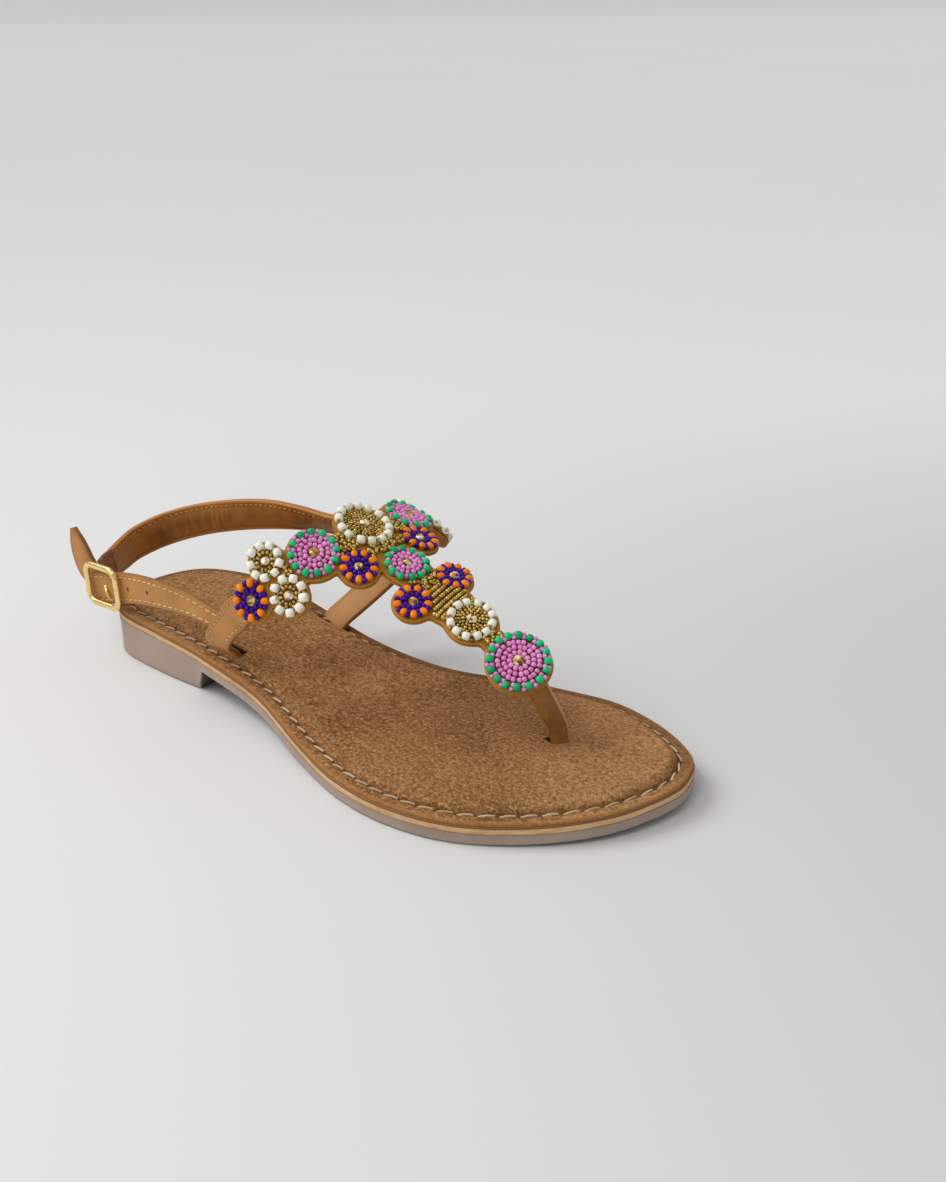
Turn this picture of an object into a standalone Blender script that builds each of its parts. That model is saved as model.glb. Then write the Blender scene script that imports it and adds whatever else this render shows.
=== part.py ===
"""Flat T-strap sandal for the right foot.

A moulded rubber sole with a low block heel carries a leather midsole and a padded suede insole. The upper
is one leather piece: a scalloped T over the instep, two vamp straps that go down into slots in the insole,
and a toe post. Beaded medallions lie on the T, and a back strap closes with a buckle on the outer side.

Lengths here are millimetres in the last's own frame: X runs from the back of the heel to the toe, Y to the
inner side of the foot, Z up from the floor. The finished objects are in metres, and their origin is on the
floor under the middle of the heel."""

import math

import bmesh
import bpy
import numpy as np

MM = 0.001
GAP = 0.3
ORIGIN = np.array([38.0, 2.0, 0.0])

# Sole heights, worked out at the top edge of the midsole
HEEL_HEIGHT = 16.8
FOREFOOT_HEIGHT = 6.3
TOE_SPRING = 2.2
SHANK_START = 60.0
SHANK_END = 160.0
SPRING_START = 205.0
TOE_TIP = 251.2
HEEL_TIP = 12.6
HEEL_BREAST = 71.4
BREAST_RUN = 6.0
HEEL_TAPER = 3.0
TAPER_START = 25.0
MIDSOLE_THICKNESS = 2.5
OUTSOLE_EDGE = 0.7
MIDSOLE_SETBACK = 0.2
SOLE_STATIONS = 44
OUTLINE_SAMPLES = 24

# Sole outline: distance from the heel, outer edge, inner edge
OUTLINE = (
    (14.2, -10.0, 10.4),
    (18.6, -18.8, 19.2),
    (26.0, -24.2, 24.8),
    (50.0, -27.9, 30.2),
    (80.0, -30.6, 26.1),
    (110.0, -33.8, 23.3),
    (140.0, -43.8, 27.4),
    (165.0, -50.9, 36.6),
    (185.0, -52.1, 41.4),
    (205.0, -47.9, 44.2),
    (225.0, -35.8, 39.2),
    (240.0, -20.7, 30.6),
    (247.0, -8.4, 23.6),
)
TOE_TIP_Y = 8.8

# Insole section from its edge inwards: distance in from the sole's outline, height above its underside
INSOLE_SECTION = (
    (0.6, 0.0),
    (0.6, 0.8),
    (1.2, 1.2),
    (5.0, 1.3),
    (6.0, 1.0),
    (7.1, 1.9),
    (9.6, 3.0),
    (13.4, 3.5),
    (16.2, 3.65),
)

# The upper's own surface: a spine down the instep, rolled towards the outer side, bent across
UPPER_ORIGIN = np.array([126.8, 5.2, 67.0])
UPPER_YAW = math.radians(-2.7)
# Distance along the spine, slope in degrees
SPINE = ((-20.0, 25.7), (0.0, 25.9), (20.0, 24.7), (40.0, 21.9), (60.0, 22.6), (80.0, 27.1), (95.0, 32.0))
ROLL_AT_TOP = math.radians(-2.0)
ROLL_PER_MM = math.radians(0.37)
CROSS_BEND = 0.0176
SIDE_BEND = 0.00042
SIDE_START = 16.5
SPINE_REACH = (-40.0, 110.0)
SIDE_REACH = 80.0
SURFACE_STEP = 0.25

# Layers of the upper, measured outwards from the height of the bead centres
BASE_TOP = -1.1
BASE_BOTTOM = -2.8
STRAP_THICKNESS = 2.2
STRAP_BURIED = -3.3

# Beaded medallions: name, place along and across the T, radius of the outer ring. One that lies off the
# middle comes twice, once on each side
MEDALLIONS = (
    ("toe", 73.9, 0.0, 9.7),
    ("shaft", 52.4, 0.0, 7.8),
    ("throat", 34.8, 9.4, 5.8),
    ("centre", 21.7, 0.0, 7.4),
    ("inner", 13.7, 14.2, 5.8),
    ("top", 0.0, 0.0, 9.1),
    ("shoulder", 0.8, 22.8, 8.3),
    ("front", 5.9, 38.3, 5.6),
    ("back", -7.5, 37.1, 5.5),
    ("end", -4.3, 50.3, 5.6),
)
SIDES = (("lateral", -1.0), ("medial", 1.0))
BASE_MARGIN = 1.5
MEDALLION_MARGIN = 0.35
MEDALLION_GAP = 0.5
LARGE_MEDALLION = 7.0
LARGE_SEGMENTS = 16
SMALL_SEGMENTS = 12
# Medallion section: share of the radius, height above the bead centres
MEDALLION_SECTION = ((0.24, 1.5), (0.4, 0.45), (0.82, 0.9), (1.0, 0.5))
# Leather between the medallions: along, across, radius
FILLERS = (
    (42.5, 0.0, 8.8),
    (4.0, 12.5, 5.5),
    (9.0, 0.0, 6.0),
    (30.0, 0.0, 6.0),
    (11.6, 6.5, 3.2),
    (-0.5, 33.4, 2.2),
)
BASE_ROUNDING = 0.7
BASE_STEP = 3.2
BASE_REACH_ALONG = (-24.0, 94.4)
BASE_REACH_ACROSS = 65.6
OUTLINE_SNAP = 0.36 * BASE_STEP
OUTLINE_NUDGES = 4
OUTLINE_HALVINGS = 20
SLOPE_PROBE = 0.01

# Rows of seed beads across the shaft: along, half length
BEAD_ROWS = ((33.4, 2.2), (37.0, 2.7), (40.0, 5.0), (41.6, 6.9), (43.6, 7.2))
BEAD_ROWS_TOP = 0.4

# Vamp straps below the T: x, y, z, width. Their upper ends lie inside the base at these places of the T
VAMP_ANCHORS = ((-2.0, 42.0), (-3.0, 47.0), (-4.0, 52.0), (-5.2, 56.5))
VAMP_ANCHOR_WIDTH = 11.5
LATERAL_VAMP = (
    (101.0, -33.9, 38.4, 10.6),
    (94.0, -33.4, 31.0, 10.2),
    (89.0, -30.6, 25.0, 10.2),
    (86.8, -25.2, 19.8, 10.2),
    (86.4, -22.8, 16.3, 10.2),
)
MEDIAL_VAMP = (
    (107.6, 36.8, 33.8, 12.0),
    (106.0, 31.4, 27.8, 11.6),
    (101.4, 25.8, 22.6, 11.4),
    (96.6, 20.7, 18.8, 11.4),
    (95.4, 18.6, 15.7, 11.4),
)
SLOT_LENGTH = 13.0
SLOT_WIDTH = 4.4
SLOT_CUT_HALF = 8.0

# Toe post: its upper end lies inside the base at these places of the T, then x, y, z, width across the foot
POST_ANCHORS = ((72.0, 0.0), (79.0, 0.0))
POST_ANCHOR_WIDTH = 7.4
POST_BURIED = -4.6
POST = ((202.6, 5.2, 23.5, 7.2), (204.8, 8.8, 14.0, 6.6), (205.3, 9.7, 7.6, 6.2))
POST_THICKNESS = 5.0
POST_EASE = 1.6
POST_ACROSS = (0.35, 0.94, 0.0)
POST_HOLE = (8.4, 8.4)

# Back strap from the T round the heel: x, y, z, width, lean of its top towards the foot in degrees
BACK_STRAP_ANCHOR = (-8.0, 31.0)
BACK_STRAP = (
    (101.0, 33.4, 52.2, 12.0, 50.0),
    (86.0, 34.0, 47.8, 12.5, 40.0),
    (70.0, 32.0, 47.4, 12.5, 28.0),
    (55.0, 29.2, 46.4, 12.5, 12.0),
    (38.0, 24.6, 43.6, 12.5, 2.0),
    (22.0, 19.2, 39.4, 12.8, 0.0),
    (10.0, 12.0, 34.8, 13.0, 0.0),
    (4.6, 2.5, 31.0, 13.0, 0.0),
    (4.9, -4.5, 28.9, 13.0, 0.0),
    (6.8, -11.2, 27.6, 12.5, 0.0),
)
# Buckle strap from the vamp strap through the buckle, and its pointed tail behind it, with the same columns
BUCKLE_STRAP = (
    (92.6, -30.0, 33.0, 7.6, 0.0),
    (84.0, -30.2, 34.4, 8.0, 0.0),
    (75.0, -30.1, 35.4, 8.8, 0.0),
    (62.0, -29.6, 34.9, 10.2, 0.0),
    (46.0, -28.0, 32.6, 11.2, 0.0),
    (33.4, -26.8, 29.9, 11.6, 0.0),
    (23.8, -26.3, 27.3, 12.2, 0.0),
    (13.6, -25.8, 24.8, 12.4, 0.0),
)
TAIL = (
    (19.0, -25.5, 26.4, 9.0, 0.0),
    (14.6, -25.3, 29.3, 11.0, 0.0),
    (11.0, -25.1, 32.6, 11.6, 0.0),
    (9.0, -25.0, 36.6, 11.2, 0.0),
    (7.4, -24.9, 40.6, 9.0, 0.0),
    (6.1, -24.8, 43.8, 5.6, 0.0),
    (5.2, -24.7, 46.0, 2.4, 0.0),
)
ELASTIC = ((7.4, -12.6, 27.5, 10.5, 0.0), (9.4, -17.2, 27.6, 10.5, 0.0), (12.6, -21.6, 28.0, 10.5, 0.0))
BACK_STRAP_THICKNESS = 2.3
BACK_STRAP_SAG = 1.2
ELASTIC_THICKNESS = 1.4
RIBBON_CORNER = 0.5
ELASTIC_CORNER = 0.3
RIBBON_SAMPLES = 4
SHORT_SAMPLES = 3
PRONG_SAMPLES = 2
EASE_OF_DEPTH = 0.8
EASE_OF_WIDTH = 0.5

# Buckle on the outer face of its strap: front end, middle and rear end of the strap's middle line under it
BUCKLE_FRONT = np.array([33.4, -26.8, 30.3])
BUCKLE_MIDDLE = np.array([23.8, -26.3, 28.6])
BUCKLE_REAR = np.array([14.6, -25.9, 29.3])
BUCKLE_LENGTH = 21.0
BUCKLE_HEIGHT = 17.6
BUCKLE_CORNER = 4.0
BUCKLE_CORNER_STEPS = 5
BUCKLE_WIRE = 2.5
BUCKLE_CLEARANCE = 0.45
WIRE_SIDES = 8
PRONG_DIAMETER = 1.5
PRONG_EASE = 0.44

# Shading: edges sharper than these angles show as edges
SHARP_DEGREES = 40.0
SOFT_DEGREES = 60.0

FINISHES = {
    "rubber": ((0.27, 0.22, 0.19), 0.65, 0.0),
    "midsole_leather": ((0.62, 0.42, 0.22), 0.6, 0.0),
    "suede": ((0.28, 0.155, 0.068), 0.95, 0.0),
    "strap_leather": ((0.40, 0.205, 0.07), 0.5, 0.0),
    "base_leather": ((0.36, 0.17, 0.025), 0.6, 0.0),
    "elastic_web": ((0.11, 0.05, 0.03), 0.85, 0.0),
    "gold_metal": ((0.85, 0.64, 0.30), 0.22, 1.0),
    "pink_green_beads": ((0.58, 0.16, 0.42), 0.3, 0.0),
    "orange_purple_beads": ((0.80, 0.21, 0.02), 0.3, 0.0),
    "white_gold_beads": ((0.80, 0.78, 0.66), 0.3, 0.0),
    "gold_beads": ((0.24, 0.15, 0.04), 0.35, 0.6),
}
BEAD_FINISH = {
    "toe": "pink_green_beads",
    "centre": "pink_green_beads",
    "shoulder": "pink_green_beads",
    "throat": "orange_purple_beads",
    "inner": "orange_purple_beads",
    "end": "orange_purple_beads",
    "shaft": "white_gold_beads",
    "top": "white_gold_beads",
    "front": "white_gold_beads",
    "back": "white_gold_beads",
}


def finish(name):
    """The material of one finish, made once."""
    material = bpy.data.materials.get(name)
    if material is None:
        colour, roughness, metallic = FINISHES[name]
        material = bpy.data.materials.new(name)
        material.use_nodes = True
        shader = material.node_tree.nodes["Principled BSDF"]
        shader.inputs["Base Color"].default_value = (*colour, 1.0)
        shader.inputs["Roughness"].default_value = roughness
        shader.inputs["Metallic"].default_value = metallic
    return material


def solid(name, points, faces, finish_name, sharp_degrees=SHARP_DEGREES):
    """A closed mesh object from points in the last's frame."""
    mesh = bpy.data.meshes.new(name)
    mesh.from_pydata(((np.asarray(points) - ORIGIN) * MM).tolist(), [], faces)
    work = bmesh.new()
    work.from_mesh(mesh)
    bmesh.ops.recalc_face_normals(work, faces=work.faces)
    work.to_mesh(mesh)
    work.free()
    mesh.shade_smooth()
    mesh.set_sharp_from_angle(angle=math.radians(sharp_degrees))
    mesh.materials.append(finish(finish_name))
    piece = bpy.data.objects.new(name, mesh)
    bpy.context.scene.collection.objects.link(piece)
    return piece


def helper(piece):
    """Marks an object as a cutter or a piece that is fused into another."""
    piece.hide_render = True
    piece.display_type = "WIRE"
    return piece


def combine(piece, other, operation):
    change = piece.modifiers.new(other.name, "BOOLEAN")
    change.operation = operation
    change.solver = "EXACT"
    change.object = other


def smooth_curve(points, samples, closed=False):
    """Points along a smooth curve through the given rows, samples of them to each span."""
    points = np.asarray(points, float)
    place = points[:, :3]
    spans = len(points) if closed else len(points) - 1
    following = np.roll(place, -1, axis=0)
    steps = np.linalg.norm(following - place, axis=1) ** 0.5
    tangents = np.zeros_like(points)
    for row in range(len(points)):
        last = not closed and row == len(points) - 1
        first = not closed and row == 0
        after = (points[(row + 1) % len(points)] - points[row]) / steps[row]
        before = (points[row] - points[row - 1]) / steps[row - 1]
        if first:
            tangents[row] = after
        elif last:
            tangents[row] = before
        else:
            weight = steps[row - 1] / (steps[row - 1] + steps[row])
            tangents[row] = before * (1.0 - weight) + after * weight
    curve = []
    for row in range(spans):
        after = (row + 1) % len(points)
        for u in np.arange(samples) / samples:
            value = points[row] * (2 * u**3 - 3 * u**2 + 1) + points[after] * (3 * u**2 - 2 * u**3)
            value = value + tangents[row] * steps[row] * (u**3 - 2 * u**2 + u)
            curve.append(value + tangents[after] * steps[row] * (u**3 - u**2))
    if not closed:
        curve.append(points[-1])
    return np.array(curve)


def midsole_top(x):
    """Height of the midsole's top edge: heel seat, shank, forefoot and toe spring."""
    u = np.clip((x - SHANK_START) / (SHANK_END - SHANK_START), 0.0, 1.0)
    shank = u * u * (3.0 - 2.0 * u)
    spring = np.clip((x - SPRING_START) / (TOE_TIP - SPRING_START), 0.0, 1.0)
    return HEEL_HEIGHT + (FOREFOOT_HEIGHT - HEEL_HEIGHT) * shank + TOE_SPRING * spring**2


def sole_underside(x):
    """Height of the rubber's underside: the heel stands on the floor, the arch follows the shank."""
    return np.where(x <= HEEL_BREAST, 0.0, np.maximum(midsole_top(x) - FOREFOOT_HEIGHT, 0.0))


def sole_ring():
    """The sole's outline as a ring of stations: heel tip, outer edge, toe tip, inner edge."""
    outer = [(x, lateral, 0.0) for x, lateral, medial in OUTLINE]
    inner = [(x, medial, 0.0) for x, lateral, medial in reversed(OUTLINE)]
    control = [(HEEL_TIP, 0.0, 0.0), *outer, (TOE_TIP, TOE_TIP_Y, 0.0), *inner]
    dense = smooth_curve(control, OUTLINE_SAMPLES, closed=True)
    heel = int(dense[:, 0].argmin())
    dense = np.roll(dense, -heel, axis=0)
    toe = int(dense[:, 0].argmax())
    lateral = dense[: toe + 1]
    medial = np.vstack([dense[toe:], dense[:1]])[::-1]
    spread = (1.0 - np.cos(np.pi * np.arange(SOLE_STATIONS + 1) / SOLE_STATIONS)) / 2.0
    stations = dense[0, 0] + (dense[toe, 0] - dense[0, 0]) * spread
    breast = int(np.abs(stations - HEEL_BREAST).argmin())
    stations[breast] = HEEL_BREAST
    stations = np.insert(stations, breast + 1, HEEL_BREAST + BREAST_RUN)
    outer = [(x, np.interp(x, lateral[:, 0], lateral[:, 1])) for x in stations[:-1]]
    inner = [(x, np.interp(x, medial[:, 0], medial[:, 1])) for x in stations[:0:-1]]
    return np.array(outer + inner)


def set_in(ring, distance):
    """The ring moved inwards by a distance, which may differ from point to point."""
    run = np.roll(ring, -1, axis=0) - np.roll(ring, 1, axis=0)
    run /= np.linalg.norm(run, axis=1)[:, None]
    return ring + np.reshape(distance, (-1, 1)) * np.column_stack([-run[:, 1], run[:, 0]])


def stacked(rings):
    """Faces of a solid whose rings run from its underside, up its wall and over its top."""
    count = len(rings[0])
    half = count // 2
    faces = []
    for level in range(len(rings) - 1):
        low = level * count
        for i in range(count):
            j = (i + 1) % count
            faces.append((low + i, low + j, low + count + j, low + count + i))
    for low, flip in ((0, True), ((len(rings) - 1) * count, False)):
        across = [(low + i, low + i + 1, low + count - i - 1, low + count - i) for i in range(1, half - 1)]
        across.append((low, low + 1, low + count - 1))
        across.append((low + half - 1, low + half, low + half + 1))
        faces += [face[::-1] if flip else face for face in across]
    return faces


def layer(ring, height):
    return np.column_stack([ring, np.broadcast_to(height, len(ring))])


def build_sole(ring):
    """Outsole with its heel, midsole, and padded insole with slots for the straps."""
    x = ring[:, 0]
    under = sole_underside(x)
    seat = midsole_top(x) - MIDSOLE_THICKNESS
    toward_breast = np.clip((x - TAPER_START) / (HEEL_BREAST - TAPER_START), 0.0, 1.0)
    taper = np.where(x <= HEEL_BREAST, HEEL_TAPER * toward_breast**2, 0.0)
    rings = [
        layer(set_in(ring, taper + OUTSOLE_EDGE), under),
        layer(set_in(ring, taper), under + OUTSOLE_EDGE),
        layer(ring, seat - GAP),
    ]
    solid("outsole", np.vstack(rings), stacked(rings), "rubber")
    edge = set_in(ring, MIDSOLE_SETBACK)
    rings = [layer(edge, seat), layer(edge, midsole_top(x))]
    solid("midsole", np.vstack(rings), stacked(rings), "midsole_leather")
    rings = []
    for distance, height in INSOLE_SECTION:
        line = set_in(ring, distance)
        rings.append(layer(line, midsole_top(line[:, 0]) + GAP + height))
    insole = solid("insole", np.vstack(rings), stacked(rings), "suede", SOFT_DEGREES)
    for name, strap in (("lateral_slot", LATERAL_VAMP), ("medial_slot", MEDIAL_VAMP)):
        combine(insole, block(name, strap[-1][:3], (SLOT_LENGTH, SLOT_WIDTH)), "DIFFERENCE")
    combine(insole, block("post_hole", POST[-1][:3], POST_HOLE), "DIFFERENCE")


def block(name, centre, size):
    """A helper box that cuts right through the insole."""
    half = np.array([size[0] / 2.0, size[1] / 2.0, SLOT_CUT_HALF])
    corners = [np.array(centre) + half * (a, b, c) for c in (-1, 1) for b in (-1, 1) for a in (-1, 1)]
    faces = [(0, 2, 3, 1), (4, 5, 7, 6), (0, 1, 5, 4), (2, 6, 7, 3), (0, 4, 6, 2), (1, 3, 7, 5)]
    return helper(solid(name, corners, faces, "suede"))


class UpperSurface:
    """The curved surface that the upper is cut from, by distance along the T and across it."""

    def __init__(self):
        self.along = np.arange(*SPINE_REACH, SURFACE_STEP)
        table = np.array(SPINE)
        self.slope = np.radians(np.interp(self.along, table[:, 0], table[:, 1]))
        start = int(np.abs(self.along).argmin())
        self.run = self.summed(np.cos(self.slope))
        self.fall = self.summed(np.sin(self.slope))
        self.run -= self.run[start]
        self.fall -= self.fall[start]
        self.across = np.arange(0.0, SIDE_REACH, SURFACE_STEP)
        self.angle = CROSS_BEND * self.across + SIDE_BEND * np.maximum(self.across - SIDE_START, 0.0) ** 2
        self.reach = self.summed(np.cos(self.angle))
        self.drop = self.summed(np.sin(self.angle))

    @staticmethod
    def summed(values):
        """Running total of a slope along the surface."""
        middle = (values[1:] + values[:-1]) / 2.0
        return np.concatenate([[0.0], np.cumsum(middle) * SURFACE_STEP])

    def frame(self, along, across):
        """Place, outward normal, direction along and direction across at one spot."""
        side = math.copysign(1.0, across)
        slope = np.interp(along, self.along, self.slope)
        toward_toe = np.array([math.cos(slope), 0.0, -math.sin(slope)])
        upright = np.array([math.sin(slope), 0.0, math.cos(slope)])
        roll = ROLL_AT_TOP + ROLL_PER_MM * along
        level = math.cos(roll) * np.array([0.0, 1.0, 0.0]) + math.sin(roll) * upright
        outward = math.cos(roll) * upright - math.sin(roll) * np.array([0.0, 1.0, 0.0])
        width = abs(across)
        angle = side * np.interp(width, self.across, self.angle)
        run = np.interp(along, self.along, self.run)
        fall = np.interp(along, self.along, self.fall)
        place = np.array([run, 0.0, -fall])
        place = place + side * np.interp(width, self.across, self.reach) * level
        place = place - np.interp(width, self.across, self.drop) * outward
        normal = math.sin(angle) * level + math.cos(angle) * outward
        sideways = math.cos(angle) * level - math.sin(angle) * outward
        turn = np.array(
            [
                [math.cos(UPPER_YAW), -math.sin(UPPER_YAW), 0.0],
                [math.sin(UPPER_YAW), math.cos(UPPER_YAW), 0.0],
                [0.0, 0.0, 1.0],
            ]
        )
        return UPPER_ORIGIN + turn @ place, turn @ normal, turn @ toward_toe, turn @ sideways

    def point(self, along, across, height):
        place, normal, _, _ = self.frame(along, across)
        return place + height * normal


def medallion_places():
    """Each medallion's node name, kind, place on the T and radius."""
    places = []
    for name, along, across, radius in MEDALLIONS:
        if across == 0.0:
            places.append((f"medallion_{name}", name, along, across, radius))
            continue
        for side, sign in SIDES:
            places.append((f"medallion_{name}_{side}", name, along, sign * across, radius))
    return places


def raised_patch(name, surface, flat, faces, low, high, finish_name):
    """A solid between two heights over a flat mesh laid on the upper's surface."""
    count = len(flat)
    low = np.broadcast_to(low, count)
    high = np.broadcast_to(high, count)
    points = [surface.point(a, b, h) for (a, b), h in zip(flat, high)]
    points += [surface.point(a, b, h) for (a, b), h in zip(flat, low)]
    edges = {(face[i], face[(i + 1) % len(face)]) for face in faces for i in range(len(face))}
    rim = [(a, b) for a, b in edges if (b, a) not in edges]
    solid_faces = list(faces)
    solid_faces += [tuple(count + i for i in reversed(face)) for face in faces]
    solid_faces += [(b, a, count + a, count + b) for a, b in sorted(rim)]
    return solid(name, points, solid_faces, finish_name)


def base_distance(along, across, discs):
    """How far a spot lies outside the scalloped outline, below zero inside it."""
    depths = [radius - math.hypot(along - a, across - b) for a, b, radius in discs]
    deepest = max(depths)
    total = sum(math.exp((depth - deepest) / BASE_ROUNDING) for depth in depths)
    return -deepest - BASE_ROUNDING * math.log(total)


def scalloped_mesh(discs):
    """A flat triangle mesh clipped to the scalloped outline: points and faces."""
    alongs = np.arange(BASE_REACH_ALONG[0], BASE_REACH_ALONG[1], BASE_STEP)
    acrosses = np.arange(-BASE_REACH_ACROSS, BASE_REACH_ACROSS + BASE_STEP / 2.0, BASE_STEP)
    points = []
    for a in alongs:
        for b in acrosses:
            points.append(onto_outline(a, b, discs))
    values = [value for _, _, value in points]
    flat = [(a, b) for a, b, _ in points]
    crossings = {}

    def crossing(i, j):
        """The point where an edge leaves the outline, shared by the faces on both sides."""
        key = (min(i, j), max(i, j))
        if key not in crossings:
            inside, outside = (i, j) if values[i] < 0.0 else (j, i)
            near = np.array(flat[inside])
            far = np.array(flat[outside])
            for _ in range(OUTLINE_HALVINGS):
                middle = (near + far) / 2.0
                if base_distance(*middle, discs) < 0.0:
                    near = middle
                else:
                    far = middle
            crossings[key] = len(flat)
            flat.append(tuple(near))
        return crossings[key]

    columns = len(acrosses)
    faces = []
    for row in range(len(alongs) - 1):
        for column in range(columns - 1):
            corner = row * columns + column
            square = (corner, corner + columns, corner + columns + 1, corner + 1)
            for triangle in ((square[0], square[1], square[2]), (square[0], square[2], square[3])):
                if min(values[i] for i in triangle) >= 0.0:
                    continue
                face = []
                for i, j in zip(triangle, triangle[1:] + triangle[:1]):
                    if values[i] <= 0.0:
                        face.append(i)
                    if values[i] * values[j] < 0.0:
                        face.append(crossing(i, j))
                faces.append(tuple(face))
    used = sorted({i for face in faces for i in face})
    number = {old: new for new, old in enumerate(used)}
    return [flat[i] for i in used], [tuple(number[i] for i in face) for face in faces]


def onto_outline(along, across, discs):
    """A grid spot with its value, moved onto the outline where it lies close to it."""
    value = base_distance(along, across, discs)
    if abs(value) > OUTLINE_SNAP:
        return along, across, value
    for _ in range(OUTLINE_NUDGES):
        slope_a = (base_distance(along + SLOPE_PROBE, across, discs) - value) / SLOPE_PROBE
        slope_b = (base_distance(along, across + SLOPE_PROBE, discs) - value) / SLOPE_PROBE
        steep = slope_a**2 + slope_b**2
        along -= value * slope_a / steep
        across -= value * slope_b / steep
        value = base_distance(along, across, discs)
    return along, across, 0.0


def ribbon(name, rows, across, thickness, finish_name, corner=RIBBON_CORNER, samples=RIBBON_SAMPLES):
    """A flat strap with eased edges along a smooth path. A row gives x, y, z and width."""
    path = smooth_curve(np.hstack([np.asarray(rows, float)[:, :4], np.asarray(across, float)]), samples)
    tangents = np.gradient(path[:, :3], axis=0)
    points = []
    faces = []
    for centre, tangent in zip(path, tangents):
        tangent = tangent / np.linalg.norm(tangent)
        wide = centre[4:7] - tangent * np.dot(centre[4:7], tangent)
        wide /= np.linalg.norm(wide)
        thick = np.cross(tangent, wide)
        half = centre[3] / 2.0
        deep = thickness / 2.0
        ease = min(corner, deep * EASE_OF_DEPTH, half * EASE_OF_WIDTH)
        section = (
            (half, deep - ease),
            (half - ease, deep),
            (ease - half, deep),
            (-half, deep - ease),
            (-half, ease - deep),
            (ease - half, -deep),
            (half - ease, -deep),
            (half, ease - deep),
        )
        points += [centre[:3] + a * wide + b * thick for a, b in section]
    size = len(section)
    for level in range(len(path) - 1):
        for i in range(size):
            j = (i + 1) % size
            faces.append((level * size + i, level * size + j, (level + 1) * size + j, (level + 1) * size + i))
    faces.append(tuple(reversed(range(size))))
    faces.append(tuple((len(path) - 1) * size + i for i in range(size)))
    return solid(name, points, faces, finish_name)


def leaning(rows):
    """Width directions of an upright strap whose top leans towards the foot."""
    lean = np.radians([row[4] for row in rows])
    side = np.sign([row[1] for row in rows])
    return np.column_stack([np.zeros(len(rows)), -side * np.sin(lean), np.cos(lean)])


def build_upper(surface):
    """The T, its vamp straps and the toe post as one piece of leather, then the beads that lie on it."""
    places = medallion_places()
    discs = [(along, across, radius + BASE_MARGIN) for _, _, along, across, radius in places]
    for along, across, radius in FILLERS:
        discs += [(along, sign * across, radius) for sign in sorted({-1.0, 1.0 if across else -1.0})]
    flat, faces = scalloped_mesh(discs)
    upper = raised_patch("upper", surface, flat, faces, BASE_BOTTOM, BASE_TOP, "base_leather")
    for (side, sign), rows in zip(SIDES, (LATERAL_VAMP, MEDIAL_VAMP)):
        anchored = []
        across = []
        for along, out in VAMP_ANCHORS:
            place, normal, toward_toe, _ = surface.frame(along, sign * out)
            anchored.append((*(place + STRAP_BURIED * normal), VAMP_ANCHOR_WIDTH))
            across.append(toward_toe)
        across += [(1.0, 0.0, 0.0)] * len(rows)
        strap = ribbon(f"vamp_strap_{side}", anchored + list(rows), across, STRAP_THICKNESS, "strap_leather")
        combine(upper, helper(strap), "UNION")
    anchored = [(*surface.point(*spot, POST_BURIED), POST_ANCHOR_WIDTH) for spot in POST_ANCHORS]
    across = [surface.frame(*spot)[3] for spot in POST_ANCHORS] + [POST_ACROSS] * len(POST)
    rows = anchored + list(POST)
    post = ribbon("toe_post", rows, across, POST_THICKNESS, "strap_leather", POST_EASE, SHORT_SAMPLES)
    combine(upper, helper(post), "UNION")
    for name, kind, along, across, radius in places:
        build_medallion(name, surface, along, across, radius + MEDALLION_MARGIN, BEAD_FINISH[kind])
    build_bead_rows(surface)


def build_medallion(name, surface, along, across, radius, finish_name):
    """A low beaded disc: a stone in the middle, flat rings round it and a raised outer ring."""
    segments = LARGE_SEGMENTS if radius > LARGE_MEDALLION else SMALL_SEGMENTS
    flat = [(along, across)]
    high = [MEDALLION_SECTION[0][1]]
    for share, height in MEDALLION_SECTION:
        for step in range(segments):
            turn = 2.0 * math.pi * step / segments
            flat.append((along + radius * share * math.cos(turn), across + radius * share * math.sin(turn)))
            high.append(height)
    faces = []
    for step in range(segments):
        after = (step + 1) % segments
        faces.append((0, 1 + step, 1 + after))
        for ring in range(len(MEDALLION_SECTION) - 1):
            low = 1 + ring * segments
            outer = low + segments
            faces.append((low + step, outer + step, outer + after, low + after))
    raised_patch(name, surface, flat, faces, BASE_TOP + MEDALLION_GAP, np.array(high), finish_name)


def build_bead_rows(surface):
    """The pad of seed-bead rows across the shaft, between the throat and shaft medallions."""
    flat = []
    faces = []
    for along, half in BEAD_ROWS:
        flat += [(along, half * share) for share in (-1.0, 0.0, 1.0)]
    for row in range(len(BEAD_ROWS) - 1):
        for column in range(2):
            corner = row * 3 + column
            faces.append((corner, corner + 3, corner + 4, corner + 1))
    raised_patch("bead_rows", surface, flat, faces, BASE_TOP + GAP, BEAD_ROWS_TOP, "gold_beads")


def build_straps(surface):
    """Back strap, elastic and buckle strap."""
    place, normal, _, sideways = surface.frame(*BACK_STRAP_ANCHOR)
    under = BASE_BOTTOM - GAP - BACK_STRAP_SAG - BACK_STRAP_THICKNESS / 2.0
    first = (*(place + under * normal), BACK_STRAP[0][3])
    rows = [first] + [row[:4] for row in BACK_STRAP]
    across = np.vstack([-sideways, leaning(BACK_STRAP)])
    ribbon("back_strap", rows, across, BACK_STRAP_THICKNESS, "strap_leather")
    strap = ribbon("buckle_strap", BUCKLE_STRAP, leaning(BUCKLE_STRAP), STRAP_THICKNESS, "strap_leather")
    tail = ribbon("buckle_strap_tail", TAIL, leaning(TAIL), STRAP_THICKNESS, "strap_leather")
    combine(strap, helper(tail), "UNION")
    across = leaning(ELASTIC)
    ribbon("elastic", ELASTIC, across, ELASTIC_THICKNESS, "elastic_web", ELASTIC_CORNER, SHORT_SAMPLES)


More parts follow.
